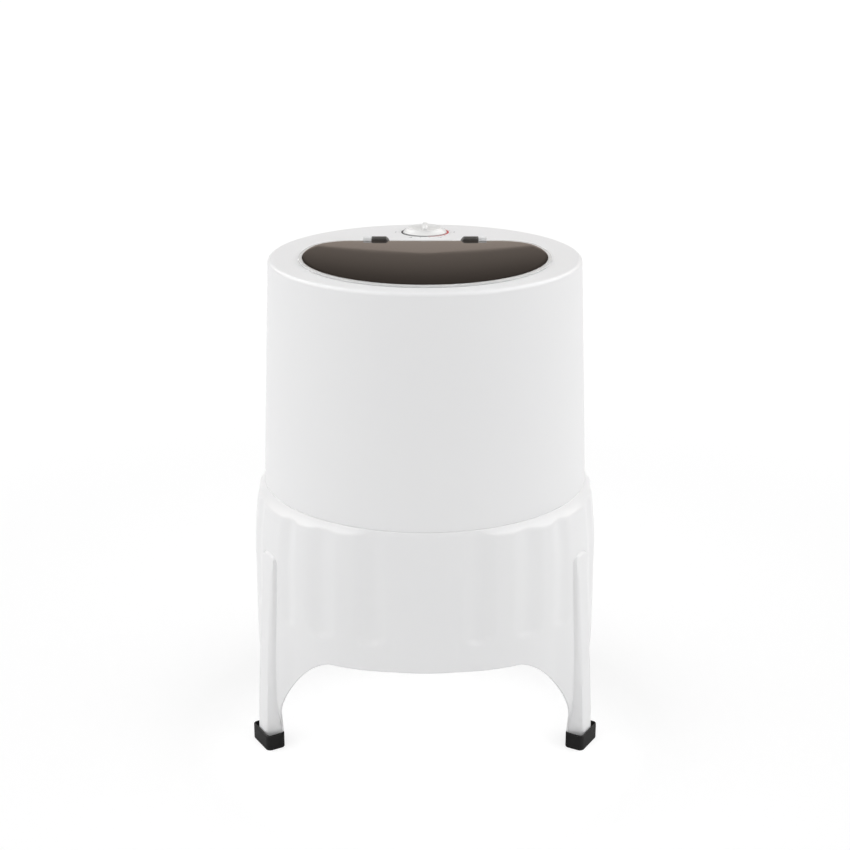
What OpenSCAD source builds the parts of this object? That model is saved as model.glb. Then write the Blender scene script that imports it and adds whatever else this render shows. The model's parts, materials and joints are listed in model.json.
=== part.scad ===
// Single-tub semi-automatic washing machine: a round casing on a fluted skirt with three legs,
// a tinted lid, a clockwork timer, a belt-driven impeller and an open drive bay under the tub.
// Millimetres. +Z is up, the front faces -Y, and the floor is z = 0.

/* [Casing] */
// Height of the deck above the floor
deck_h = 820; // [800:1:840]
// Outer radius of the casing at the deck
casing_top_r = 260; // [256:1:264]
// Outer radius of the casing at its lower edge
casing_low_r = 275.5; // [272:0.5:278]
// Height of the casing's lower edge above the floor
collar_h = 437; // [430:1:440]
// Wall thickness of the casing
casing_wall = 3.2; // [2.6:0.1:3.6]
// Thickness of the deck
deck_t = 4; // [3:0.5:5]
// Rounding of the deck's outer edge
deck_edge_r = 7; // [7:1:13]

/* [Opening and lid] */
// Radius of the round part of the deck opening
opening_r = 200; // [196:1:202]
// Distance of the opening's centre in front of the casing axis
opening_shift = 19; // [15:1:22]
// Distance of the opening's straight rear edge behind its centre
opening_chord = 113; // [108:1:115]
// Corner radius of the opening
opening_corner_r = 66; // [60:1:72]
// Depth of the splash lip under the deck
splash_lip = 8; // [6:1:10]
// Overlap of the lid on the deck
lid_overlap = 8; // [6:1:10]
// Thickness of the lid rim
rim_t = 3; // [2.6:0.2:3.6]
// Width of the ledge that holds the window
rim_ledge = 7; // [5:1:9]
// Depth of the lip under the lid
lid_lip = 8; // [5:1:9]
// Thickness of the window
window_t = 2.5; // [2:0.1:3]
// Height of the window's crown
window_crown = 2; // [1:0.5:4]

/* [Hinges] */
// Distance of each hinge block's middle from the centre line
hinge_x = 79; // [76:1:84]
// Width of the flat top of a hinge block
hinge_w = 25; // [22:1:28]
// Radius of the hinge pin
hinge_pin_r = 2.5; // [2:0.1:2.8]
// Height of the hinge pin above the deck
hinge_lift = 4.8; // [4.7:0.1:5.2]
// Distance of the hinge pin behind the opening's straight edge
hinge_back = 10; // [9.5:0.5:11]
// Length of the lid's knuckle on the pin
knuckle_w = 14; // [11:1:16]

/* [Timer] */
// Distance of the timer behind the casing axis
timer_back = 187; // [184:1:190]
// Radius of the knob at its foot
knob_foot_r = 38; // [36:0.5:39]
// Radius of the knob's face
knob_face_r = 29.5; // [27:0.5:31]
// Height of the knob's face above the deck
knob_face_h = 9.5; // [8.5:0.5:11]
// Height of the knob's grip above the deck
knob_top_h = 16.5; // [14:0.5:19]
// Width of the printed dial ring
dial_w = 3.6; // [3:0.2:5]
// Depth of the timer's clockwork case
timer_depth = 46; // [40:1:50]
// Radius of the timer's clockwork case
timer_case_r = 28; // [26:0.5:30]
// Radius of the timer spindle
spindle_r = 3; // [2.5:0.1:3.4]

/* [Wash tub] */
// Inner radius of the tub at its top
tub_top_r = 199; // [197:0.5:200]
// Inner radius of the tub above its floor
tub_low_r = 188; // [185:0.5:190]
// Wall thickness of the tub
tub_wall = 3; // [2.5:0.1:3.4]
// Height of the tub's underside above the floor
tub_under = 441; // [440:1:446]
// Thickness of the tub's floor
tub_floor_t = 5; // [4.5:0.5:6]
// Radius of the recess for the impeller
recess_r = 150; // [148:1:154]
// Depth of the recess for the impeller
recess_depth = 14; // [12:1:16]
// Height of the room for the timer under the deck
pocket_depth = 74; // [70:1:80]

/* [Impeller] */
// Radius of the impeller
impeller_r = 145; // [140:1:146]
// Number of vanes
vane_count = 4; // [3:1:6]
// Height of the vanes at the hub above the tub floor's recess
impeller_h = 52; // [46:1:58]
// Radius of the drive shaft
shaft_r = 6; // [5:0.5:7]

/* [Drive] */
// Distance between the impeller shaft and the motor shaft
belt_span = 150; // [148:1:154]
// Radius of the belt's middle line on the large pulley
large_pitch_r = 83; // [78:1:85]
// Radius of the belt's middle line on the motor pulley
small_pitch_r = 20; // [19:1:23]
// Width of the belt
belt_w = 8; // [7:0.5:9]
// Thickness of the belt
belt_t = 6; // [5:0.5:6.5]
// Height of the belt's middle above the floor
belt_h = 362; // [360:1:364]
// Radius of the bearing housing's flange
housing_r = 60; // [56:1:64]
// Radius of the bearing bushes
bush_r = 14; // [13:0.5:15]
// Length of a bearing bush
bush_len = 18; // [16:1:20]
// Outer radius of the motor's stator
stator_r = 62; // [60:0.5:64]
// Height of the stator's stack
stator_h = 54; // [48:1:58]
// Outer radius of the rotor
rotor_r = 37; // [35:0.5:38]
// Radius of the motor shaft
motor_shaft_r = 5; // [4.5:0.1:5.5]
// Thickness of the motor bracket's sheet
bracket_t = 3; // [2.5:0.5:3.5]
// Half the width between the bracket's webs
bracket_half = 72; // [70:1:74]

/* [Skirt and legs] */
// Radius of the skirt's plain front panel
panel_r = 280; // [279:0.5:284]
// Radius of the skirt beside the legs
leg_wall_r = 298.5; // [296:0.5:301]
// Wall thickness of the skirt
skirt_wall = 3; // [2.5:0.1:3.4]
// Height of the skirt's lower edge between the legs
skirt_low = 194; // [184:1:200]
// Depth of the flutes
flute_depth = 6; // [3:0.5:6.5]
// Height of the flutes' round lower ends
flute_low = 236; // [234:1:244]
// Height of the top of the leg ribs
leg_tip_h = 348; // [340:1:356]
// Outward slope of the leg ribs
leg_splay = 0.0665; // [0.05:0.0005:0.07]
// Step of the leg ribs below their tips
leg_step = 2.5; // [1.5:0.5:6]
// Swell of the wall beside the leg ribs
leg_flare = 8; // [2:0.5:9]
// Height of the foot caps
foot_h = 28; // [24:1:34]
// Wall thickness of the foot caps
foot_wall = 3; // [2.5:0.1:3.6]

/* [Hidden] */

// Clearances
gap = 0.3;
slack = 0.05;
tiny = 0.01;

// Colours
white_shell = "#ECECEC";
tub_grey = "#D9DADB";
tinted = "#4A4542";
clear_pale = "#DADCDC";
dark_grey = "#3A3836";
rubber_black = "#222222";
steel = "#A8AAAD";
cast_grey = "#8E9194";
copper = "#B4683A";
cream = "#E4DFD0";

// Casing
deck_under = deck_h - deck_t;
draft_slope = (casing_low_r - casing_top_r) / (deck_h - collar_h);
draft = atan(draft_slope);
function casing_r(z) = casing_top_r + (deck_h - z) * draft_slope;
function casing_in(z) = casing_r(z) - casing_wall / cos(draft);

// Opening, lid and hinge
opening_y = -opening_shift;
chord_y = opening_y + opening_chord;
lid_r = opening_r + lid_overlap;
hinge_y = chord_y + hinge_back;
hinge_z = deck_h + hinge_lift;
lid_chord = hinge_y + 1 - opening_y;
lid_low = deck_h + 0.4;
ledge_z = lid_low + rim_t * 0.4;
rim_in_r = opening_r + 1.3;
rim_in_chord = opening_chord + 1.3;
ledge_in_r = rim_in_r - rim_ledge;
ledge_in_chord = rim_in_chord - rim_ledge;
lip_w = 2.4;
knuckle_r = hinge_lift - 0.6;
block_half = 6;
notch_front = 7.6;
notch_in = hinge_x - hinge_w / 2 - 7;
notch_out = hinge_x + hinge_w / 2 + gap;
knuckle_x0 = notch_out;

// Timer
dial_in_r = knob_foot_r + 0.8;
dial_out_r = dial_in_r + dial_w;
dial_t = 0.8;
knob_low = deck_h + 0.6;
timer_screw_x = 23;
timer_plate_t = 3;
timer_case_top = deck_under - timer_plate_t;
timer_case_low = timer_case_top - timer_depth;

// Wash tub
tub_axis_y = opening_y;
floor_top = tub_under + tub_floor_t;
rim_floor = floor_top + recess_depth;
tub_fillet_r = 26;
tub_top = deck_under - splash_lip - gap;
flange_t = 3;
flange_w = 15;
flange_corner_r = 14;
tub_flange_r = tub_top_r + flange_w;
boss_pcd_r = tub_top_r + 10;
tub_screw_angles = [10, 170, 194, 225, 255, 285, 315, 346];
pocket_low = deck_under - pocket_depth;
pocket_face = opening_chord - 1;
tub_slope = (tub_top_r - tub_low_r) / (tub_top - rim_floor);
function tub_in(z) = tub_low_r + (z - rim_floor) * tub_slope;

// Shaft, housing and pulleys
drive_y = tub_axis_y;
motor_y = drive_y + belt_span;
housing_flange_t = 8;
housing_flange_low = tub_under - housing_flange_t;
housing_hub_r = bush_r + 8;
pulley_half = belt_w / 2 + 6;
pulley_low = belt_h - pulley_half;
pulley_high = belt_h + pulley_half;
hub_over = 4;
spacer_h = 4;
housing_low = pulley_high + hub_over + spacer_h + gap;
nut_h = 10;
shaft_low = pulley_low - hub_over - nut_h - 4;
impeller_low = floor_top + 4;
hub_top = floor_top + impeller_h;
shaft_high = hub_top - 12;
housing_pcd_r = housing_r - 10;
screw_r = 2.3;
seal_low = tub_under - 4;

// Motor and its bracket
plate_high = pulley_low - 8;
plate_low = plate_high - bracket_t;
grommet_h = 6;
shield_top = plate_low - grommet_h;
shield_h = 18;
stator_high = shield_top - shield_h;
stator_low = stator_high - stator_h;
shield_low = stator_low - shield_h;
shield_wall = 4;
bolt_pcd_r = stator_r - 9;
bolt_r = 2.4;
bracket_boss_h = 10;
bracket_high = tub_under - bracket_boss_h;
bracket_flange = 24;
bracket_front = drive_y + 80;
bracket_rear = motor_y + stator_r + 8;
bracket_flange_rear = drive_y + 158;
bracket_screw_x = bracket_half + bracket_t + bracket_flange / 2;
bracket_screw_ys = [bracket_front + 14, bracket_flange_rear - 10];
capacitor_r = 20;
capacitor_h = 70;
capacitor_x = bracket_half + bracket_t + capacitor_r + 2;
capacitor_y = bracket_front + 40;
capacitor_low = plate_low + 6;

// Drain
drain_x = -118;
drain_y = drive_y - 31;
drain_pipe_r = 13;
drain_bore_r = 10;
drain_h = 402;
drain_bend_y = 172;
spigot_len = 30;
spigot_low = drain_h - drain_pipe_r - 5 - spigot_len;

// Cord gland and wiring
gland_h = collar_h + 45;
gland_r = 7.6;
cord_bore_r = 3.6;
loom_r = 4;
block_z = collar_h + 70;

// Lint filter on the tub's left wall
filter_low = 560;
filter_h = 150;
filter_w = 84;
filter_t = 6;
filter_rail_h = 60;
filter_face = tub_in(filter_low) - 22;
rail_lip = 5;

// Skirt
rim_r = casing_low_r + 1.2;
spigot_h = 20;
spigot_out = casing_in(collar_h) - 0.4;
spigot_top_out = casing_in(collar_h + spigot_h) - 0.4;
spigot_in = spigot_top_out - 3;
panel_half = 11;
flute_centres = [17.6, 35.2, 49.4];
flute_halves = [6.6, 6.6, 5];
flute_fade = 14;
flute_arch = 20;
leg_angle = 60;
arch_end = 54.6;
foot_block_back = leg_wall_r - 3;
rib_foot_half = 4.75;
rib_tip_half = 2.6;
rib_tip_round = 14;
leg_sole = 4;
arch_start = 32;
function clamp01(t) = min(1, max(0, t));
function smooth(t) = let (u = clamp01(t)) u * u * (3 - 2 * u);
function mix(a, b, t) = a + (b - a) * t;
leg_face_foot = leg_wall_r + leg_step + leg_splay * (leg_tip_h - leg_sole);
foot_out_r = leg_face_foot + foot_wall;
foot_in_r = foot_block_back - foot_wall;
foot_half = leg_wall_r * sin(leg_angle - arch_end) + 0.1 + foot_wall;

// The model's origin is at the middle of its floor area, and the casing axis lies in front of it
axis_y = (panel_r - foot_out_r) / 2;
module place() {
    translate([0, axis_y, 0]) children();
}

// Plan radius of the skirt's envelope at angle a from the middle of a panel, without flutes
function envelope_r(a) =
    panel_r + (leg_wall_r - panel_r) * sin(90 * clamp01((a - panel_half) / (55 - panel_half)));

// Depth of flute i at angle a and height z, with a round lower end
function flute_at(i, a, z) =
    let (u = abs(a - flute_centres[i]) / flute_halves[i])
    u >= 1 ? 0
    : flute_depth * pow(cos(90 * u), 2)
        * smooth((z - flute_low - flute_arch * (1 - sqrt(1 - u * u))) / flute_fade);
function flutes(a, z) = flute_at(0, a, z) + flute_at(1, a, z) + flute_at(2, a, z);

// Outer edge of the sloped shoulder under the collar
function shoulder_r(a) = rim_r + 0.62 * (envelope_r(a) - flutes(a, collar_h) - rim_r);
function shoulder_z(a) = collar_h - 6 - 0.7 * (shoulder_r(a) - rim_r);

// Plan radius of the skirt's wall below the shoulder, without and with the swell beside the legs
function base_r(a, z) =
    let (t = clamp01((shoulder_z(a) - z) / 110))
    mix(shoulder_r(a), envelope_r(a) - flutes(a, z), 1 - pow(1 - t, 2));
function swell(a, z) =
    leg_flare * smooth((a - 46) / 9.4) * smooth((leg_tip_h - z) / 230) * smooth((z - foot_h + 8) / 70);
function wall_r(a, z) = base_r(a, z) + swell(a, z);

// Half angle of the leg rib's face and height of the face above the wall
function rib_half(z) =
    let (taper = mix(rib_foot_half, rib_tip_half, clamp01((z - foot_h) / (leg_tip_h - foot_h))))
    let (u = clamp01((z - (leg_tip_h - rib_tip_round)) / rib_tip_round))
    z >= leg_tip_h ? 0.7 : max(0.7, taper * sqrt(1 - u * u));
function rib_step(z) =
    z >= leg_tip_h ? 0
    : leg_step * smooth((leg_tip_h - z) / rib_tip_round) + leg_splay * (leg_tip_h - z);

// Height of the skirt's lower edge: level between the legs, then an arch down to each leg
function arch_z(a) =
    let (u = clamp01((a - arch_start) / (arch_end - arch_start)))
    skirt_low - (skirt_low - foot_h - 3) * pow(1 - sqrt(1 - u * u), 0.65);

// The columns of a half sector: 0 is the middle of a panel, the last ones belong to the leg
wall_angles = [
    0, 6, 11, 13, 15.3, 17.6, 19.9, 22.2, 24.2, 26.4, 28.6, 30.6, 32.9, 35.2, 37.5, 39.8, 41.8,
    43.1, 44.4, 46.6, 49.4, 51.2, 52.6, 53.8, arch_end
];
leg_columns = 4;
half_columns = len(wall_angles) + leg_columns;

// Angle of column i at height z
function column_angle(i, z) =
    let (k = i - len(wall_angles))
    k < 0 ? wall_angles[i]
    : k == 0 ? mix(leg_angle - rib_foot_half - 0.45, leg_angle - 3.8, clamp01((z - 40) / 60))
    : k == 1 ? leg_angle - rib_half(z) - 0.25
    : k == 2 ? leg_angle - rib_half(z)
    : leg_angle - rib_half(z) / 2;

// Radius of the outer face of column i at height z
function column_r(i, z) =
    let (k = i - len(wall_angles))
    let (a = column_angle(i, z))
    k < 2 ? wall_r(a, z) : (base_r(leg_angle, z) + rib_step(z)) / cos(leg_angle - a);

function face_r(z) = base_r(leg_angle, z) + rib_step(z);

function column_low(i) = i < len(wall_angles) ? arch_z(wall_angles[i]) : leg_sole;

// Heights of the outer face's rows below the shoulder, then shares of the way to the lower edge
outer_levels = [405, 380, 356, 347.5, 344, 339, 330, 310, 285, 262, 255, 249, 243, 236.5];
band_low = 228;
outer_shares = [0, 0.3, 0.6, 0.86, 1];
inner_shares = [1, 0.5];
inner_levels = [224, 253, 300, 330, 347, 400];

// One column's closed outline, from the spigot's top down the outside and up the inside
function column_loop(i) =
    let (low = column_low(i))
    let (k = i - len(wall_angles))
    let (top_a = column_angle(i, collar_h))
    concat(
        [
            polar(spigot_in, top_a, collar_h + spigot_h),
            polar(spigot_top_out, top_a, collar_h + spigot_h),
            polar(spigot_out, top_a, collar_h),
            polar(rim_r, top_a, collar_h),
            polar(shoulder_r(top_a), top_a, shoulder_z(top_a))
        ],
        [for (z = outer_levels) outer_point(i, z)],
        [for (s = outer_shares) outer_point(i, mix(band_low, low, s))],
        [for (s = inner_shares) inner_point(i, mix(band_low, low, s))],
        [for (z = inner_levels) inner_point(i, z)],
        [
            polar(shoulder_r(top_a) - skirt_wall - 0.5, top_a, shoulder_z(top_a) - 5),
            polar(spigot_in, top_a, collar_h - 5)
        ]
    );
function polar(r, a, z) = [r, a, z];
function outer_point(i, z) = [column_r(i, z), column_angle(i, z), z];
function inner_point(i, z) =
    let (k = i - len(wall_angles))
    let (a = column_angle(i, z) + (k == 1 || k == 2 ? 0.55 : 0))
    let (solid_r = foot_block_back / cos(leg_angle - a))
    k >= 0 && z <= leg_sole + tiny ? [solid_r, a, z] : [column_r(i, z) - skirt_wall, a, z];

// A half sector's columns, mirrored about the panel's middle and turned to the three panels
half_loops = [for (i = [0:half_columns - 1]) column_loop(i)];
centre_loop = column_loop_centre();
function column_loop_centre() =
    let (low = leg_sole)
    let (a = leg_angle)
    concat(
        [
            polar(spigot_in, a, collar_h + spigot_h),
            polar(spigot_top_out, a, collar_h + spigot_h),
            polar(spigot_out, a, collar_h),
            polar(rim_r, a, collar_h),
            polar(shoulder_r(a), a, shoulder_z(a))
        ],
        [for (z = outer_levels) [face_r(z), a, z]],
        [for (s = outer_shares) let (z = mix(band_low, low, s)) [face_r(z), a, z]],
        [for (s = inner_shares) let (z = mix(band_low, low, s))
            [z <= low + tiny ? foot_block_back : face_r(z) - skirt_wall, a, z]],
        [for (z = inner_levels) [face_r(z) - skirt_wall, a, z]],
        [
            polar(shoulder_r(a) - skirt_wall - 0.5, a, shoulder_z(a) - 5),
            polar(spigot_in, a, collar_h - 5)
        ]
    );
function turned(loop, turn, side) =
    [for (p = loop) let (t = turn + side * p[1] - 90) [p[0] * cos(t), p[0] * sin(t), p[2]]];
sector_loops = [
    for (s = [0:2]) each concat(
        [for (i = [half_columns - 1:-1:1]) turned(half_loops[i], s * 120, -1)],
        [for (i = [0:half_columns - 1]) turned(half_loops[i], s * 120, 1)],
        [turned(centre_loop, s * 120, 1)]
    )
];
module ring_of_loops(loops) {
    n = len(loops);
    m = len(loops[0]);
    points = [for (loop = loops) each loop];
    faces = [
        for (i = [0:n - 1], j = [0:m - 1])
            let (a = i * m + j, b = i * m + (j + 1) % m)
            let (c = ((i + 1) % n) * m + (j + 1) % m, d = ((i + 1) % n) * m + j)
            each [[a, c, b], [a, d, c]]
    ];
    polyhedron(points = points, faces = faces, convexity = 10);
}

// Helpers for prisms, rings and screws
module d_prism(r, chord, corner, h, past = 0) {
    cx = sqrt(pow(r - corner, 2) - pow(chord - corner, 2));
    turn = atan2(chord - corner, cx) + past;
    tx = r * cos(turn);
    ty = r * sin(turn);
    far = 2 * r;
    intersection() {
        cylinder(r = r, h = h, $fn = 120);
        linear_extrude(h)
            polygon([
                [-cx, chord], [-tx, ty], [-2 * tx, 2 * ty], [-far, -far],
                [far, -far], [2 * tx, 2 * ty], [tx, ty], [cx, chord]
            ]);
    }
    for (s = [-1, 1])
        translate([s * cx, chord - corner, 0]) cylinder(r = corner, h = h, $fn = 48);
}
module tube(r_out, r_in, h) {
    difference() {
        cylinder(r = r_out, h = h, $fn = 64);
        translate([0, 0, -1]) cylinder(r = r_in, h = h + 2, $fn = 64);
    }
}
module box(x0, x1, y0, y1, z0, z1) {
    translate([x0, y0, z0]) cube([x1 - x0, y1 - y0, z1 - z0]);
}
module around(count, r, start = 0) {
    for (i = [0:count - 1]) rotate(start + i * 360 / count) translate([r, 0, 0]) children();
}
// A screw whose head lies under z = 0 and whose shank points up
module screw_up(shank_r, length, head_r, head_h) {
    cylinder(r = shank_r, h = length, $fn = 24);
    translate([0, 0, -head_h]) difference() {
        cylinder(r = head_r, h = head_h, $fn = 32);
        translate([0, 0, -tiny]) cylinder(r = head_r * 0.45, h = head_h * 0.5, $fn = 6);
    }
}
function arc(cx, cy, r, a0, a1, n) =
    [for (i = [0:n]) let (a = mix(a0, a1, i / n)) [cx + r * cos(a), cy + r * sin(a)]];

// Outer shell and deck
module casing_profile() {
    zc = deck_h - deck_edge_r;
    rc = casing_r(zc) - deck_edge_r / cos(draft);
    in_edge = max(deck_edge_r - casing_wall, 2);
    zi = deck_under - in_edge;
    ri = casing_in(zi) - in_edge / cos(draft);
    polygon(concat(
        [[casing_low_r, collar_h]],
        arc(rc, zc, deck_edge_r, draft, 90, 6),
        [[0, deck_h], [0, deck_under]],
        arc(ri, zi, in_edge, 90, draft, 4),
        [[casing_in(collar_h), collar_h]]
    ));
}
module opening_cut(extra, z0, h) {
    translate([0, opening_y, z0])
        d_prism(opening_r + extra, opening_chord + extra, opening_corner_r + extra, h, 0.6);
}
module tub_casing() {
    color(white_shell) place() difference() {
        union() {
            rotate_extrude($fn = 180) casing_profile();
            opening_cut(2.6, deck_under - splash_lip, splash_lip + 1);
            translate([0, opening_y, deck_under - splash_lip])
                for (a = tub_screw_angles)
                    rotate(a) translate([boss_pcd_r, 0, 0])
                        cylinder(r = 5.5, h = splash_lip + 1, $fn = 32);
        }
        opening_cut(0, deck_under - splash_lip - 1, splash_lip + deck_t + 2);
        translate([0, opening_y, deck_under - splash_lip - 1])
            for (a = tub_screw_angles)
                rotate(a) translate([boss_pcd_r, 0, 0])
                    cylinder(r = screw_r, h = splash_lip, $fn = 24);
        translate([0, timer_back, deck_under - 1])
            cylinder(r = spindle_r + 1.5, h = deck_t + 2, $fn = 32);
        for (s = [-1, 1]) {
            translate([s * timer_screw_x, timer_back, deck_under - 1])
                cylinder(r = screw_r, h = deck_t + 2, $fn = 24);
            for (x = [-6, 6])
                translate([s * hinge_x + x, hinge_y, deck_under - 1])
                    cylinder(r = screw_r, h = deck_t + 2, $fn = 24);
        }
        translate([0, casing_r(gland_h) - 20, gland_h]) rotate([-90, 0, 0])
            cylinder(r = gland_r + 0.4, h = 40, $fn = 32);
    }
}

// Skirt with three ribbed legs
module base_skirt() {
    color(white_shell) place() ring_of_loops(sector_loops);
}

// Rubber cap on the end of a leg
module foot_cap() {
    edge = 7;
    rear = foot_in_r;
    front = foot_out_r;
    difference() {
        linear_extrude(foot_h) union() {
            translate([rear, -foot_half + edge]) square([front - rear, 2 * (foot_half - edge)]);
            translate([rear + edge, -foot_half]) square([front - rear - 2 * edge, 2 * foot_half]);
            for (x = [rear + edge, front - edge], y = [-foot_half + edge, foot_half - edge])
                translate([x, y]) circle(r = edge, $fn = 32);
        }
        box(foot_block_back - 0.2, leg_face_foot + 0.2, -foot_half + foot_wall - 0.1,
            foot_half - foot_wall + 0.1, leg_sole - 0.2, foot_h + 1);
        translate([rear - 1, 0, foot_h]) rotate([0, 90, 0])
            cylinder(r = 5, h = foot_block_back - rear + 2, $fn = 32);
    }
}
module foot_left() {
    color(rubber_black) place() rotate(-90 - leg_angle) foot_cap();
}
module foot_right() {
    color(rubber_black) place() rotate(-90 + leg_angle) foot_cap();
}
module foot_rear() {
    color(rubber_black) place() rotate(90) foot_cap();
}

// Wash tub: a tapered round tub with a flat pocket at the rear for the timer
module tub_outer_profile() {
    rf = tub_in(rim_floor + tub_fillet_r) + tub_wall;
    polygon(concat(
        [[0, tub_under], [recess_r + tub_wall, tub_under], [recess_r + tub_wall, rim_floor - tub_wall - 6]],
        arc(rf - tub_fillet_r - tub_wall, rim_floor + tub_fillet_r, tub_fillet_r + tub_wall, 280, 359, 6),
        [[tub_top_r + tub_wall, tub_top], [0, tub_top]]
    ));
}
module tub_inner_profile() {
    rf = tub_in(rim_floor + tub_fillet_r);
    polygon(concat(
        [[0, floor_top], [recess_r, floor_top], [recess_r, rim_floor - 4], [recess_r + 3, rim_floor - 1]],
        arc(rf - tub_fillet_r, rim_floor + tub_fillet_r, tub_fillet_r, 272, 359, 6),
        [[tub_top_r, tub_top + 1], [0, tub_top + 1]]
    ));
}
// Top of a bracket boss at distance y behind the tub's axis: under the recess or under the raised floor
function boss_top(y) = norm([bracket_screw_x, y]) < recess_r - 9 ? tub_under + 1 : rim_floor - 1;
module filter_rails() {
    // Two grooved rails on a backing pad, on the tub's left wall
    back = tub_in(filter_low + filter_h) + 1;
    for (s = [-1, 1])
        difference() {
            box(-back, -filter_face + rail_lip, s * (filter_w / 2 + 1) - 5, s * (filter_w / 2 + 1) + 5,
                filter_low, filter_low + filter_rail_h);
            box(-filter_face - filter_t - gap, -filter_face + gap, -filter_w / 2 - gap, filter_w / 2 + gap,
                filter_low + 4, filter_low + filter_rail_h + 1);
        }
}
module wash_tub() {
    color(tub_grey) place() translate([0, tub_axis_y, 0]) difference() {
        union() {
            difference() {
                rotate_extrude($fn = 160) tub_outer_profile();
                box(-300, 300, pocket_face + tub_wall, 300, pocket_low + tub_wall, deck_h);
                difference() {
                    rotate_extrude($fn = 160) tub_inner_profile();
                    box(-300, 300, pocket_face, 300, pocket_low, deck_h);
                }
            }
            difference() {
                translate([0, 0, tub_top - flange_t])
                    d_prism(tub_flange_r, pocket_face + tub_wall + 1, flange_corner_r, flange_t);
                translate([0, 0, tub_top - flange_t - 1]) intersection() {
                    cylinder(r = tub_top_r + 1, h = flange_t + 2, $fn = 160);
                    box(-300, 300, -300, pocket_face + 1, -1, flange_t + 3);
                }
            }
            intersection() {
                filter_rails();
                rotate_extrude($fn = 160) tub_outer_profile();
            }
            for (s = [-1, 1], y = bracket_screw_ys)
                translate([s * bracket_screw_x, y - tub_axis_y, bracket_high])
                    cylinder(r = 9, h = boss_top(y - tub_axis_y) - bracket_high, $fn = 40);
        }
        for (a = tub_screw_angles)
            rotate(a) translate([boss_pcd_r, 0, tub_top - flange_t - 1])
                cylinder(r = screw_r + 0.2, h = flange_t + 2, $fn = 24);
        translate([0, 0, tub_under - 1]) cylinder(r = bush_r, h = tub_floor_t + 2, $fn = 48);
        around(4, housing_pcd_r, 45) translate([0, 0, tub_under - 1]) cylinder(r = screw_r, h = 4, $fn = 24);
        for (s = [-1, 1], y = bracket_screw_ys)
            translate([s * bracket_screw_x, y - tub_axis_y, bracket_high - 1])
                cylinder(r = screw_r, h = bracket_boss_h + 1, $fn = 24);
        translate([drain_x, drain_y - tub_axis_y, tub_under - 1])
            cylinder(r = drain_bore_r + 2, h = tub_floor_t + 2, $fn = 40);
    }
}
module tub_screws() {
    color(steel) place() translate([0, tub_axis_y, tub_top - flange_t])
        for (a = tub_screw_angles)
            rotate(a) translate([boss_pcd_r, 0, 0])
                screw_up(screw_r - slack, flange_t + splash_lip - 1.5, 4.2, 2.4);
}

// Drain under the tub: grate, gasket, elbow with a hose spigot, and its clamp
module drain_grate() {
    color(tub_grey) place() translate([drain_x, drain_y, floor_top]) difference() {
        union() {
            cylinder(r = drain_bore_r + 6, h = 1.6, $fn = 48);
            translate([0, 0, -tub_floor_t]) cylinder(r = drain_bore_r + 2 - slack, h = tub_floor_t, $fn = 48);
        }
        translate([0, 0, -tub_floor_t - 1]) cylinder(r = drain_bore_r, h = tub_floor_t, $fn = 48);
        for (a = [0:60:300])
            rotate(a) translate([6, 0, -2]) cylinder(r = 2, h = 5, $fn = 24);
        translate([0, 0, -2]) cylinder(r = 2, h = 5, $fn = 24);
    }
}
module drain_gasket() {
    color(rubber_black) place() translate([drain_x, drain_y, tub_under - 2])
        tube(drain_pipe_r + 7, drain_bore_r, 2);
}
module drain_path(r) {
    translate([0, drain_y, drain_h]) sphere(r = r, $fn = 48);
    translate([0, drain_y, drain_h]) rotate([-90, 0, 0]) cylinder(r = r, h = drain_bend_y - drain_y, $fn = 48);
    translate([0, drain_bend_y, drain_h]) sphere(r = r, $fn = 48);
}
module drain_elbow() {
    color(dark_grey) place() translate([drain_x, 0, 0]) difference() {
        union() {
            translate([0, drain_y, tub_under - 6]) cylinder(r = drain_pipe_r + 7, h = 4, $fn = 48);
            translate([0, drain_y, drain_h]) cylinder(r = drain_pipe_r, h = tub_under - 3 - drain_h, $fn = 48);
            drain_path(drain_pipe_r);
            translate([0, drain_bend_y, spigot_low])
                cylinder(r = drain_pipe_r, h = drain_h - spigot_low, $fn = 48);
            translate([0, drain_bend_y, spigot_low + spigot_len])
                cylinder(r = drain_pipe_r + 3, h = 4, $fn = 48);
        }
        translate([0, drain_y, drain_h]) cylinder(r = drain_bore_r, h = tub_under - drain_h, $fn = 40);
        drain_path(drain_bore_r);
        translate([0, drain_bend_y, spigot_low - 1])
            cylinder(r = drain_bore_r, h = drain_h - spigot_low + 1, $fn = 40);
    }
}
module drain_clamp() {
    // A strap that hangs the drain pipe from the side of the motor bracket
    y = bracket_front + 50;
    reach = -drain_x - bracket_half - bracket_t - bracket_flange;
    color(steel) place() translate([drain_x, y, drain_h]) {
        rotate([-90, 0, 0]) difference() {
            cylinder(r = drain_pipe_r + gap + 1.6, h = 12, $fn = 48);
            translate([0, 0, -1]) cylinder(r = drain_pipe_r + gap / 3, h = 14, $fn = 48);
        }
        box(-1, 1, 0, 12, drain_pipe_r + 1, bracket_high - bracket_t - drain_h - 1.6);
        box(-1, reach + 14, 0, 12, bracket_high - bracket_t - drain_h - 1.6, bracket_high - bracket_t - drain_h);
    }
}

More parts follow.
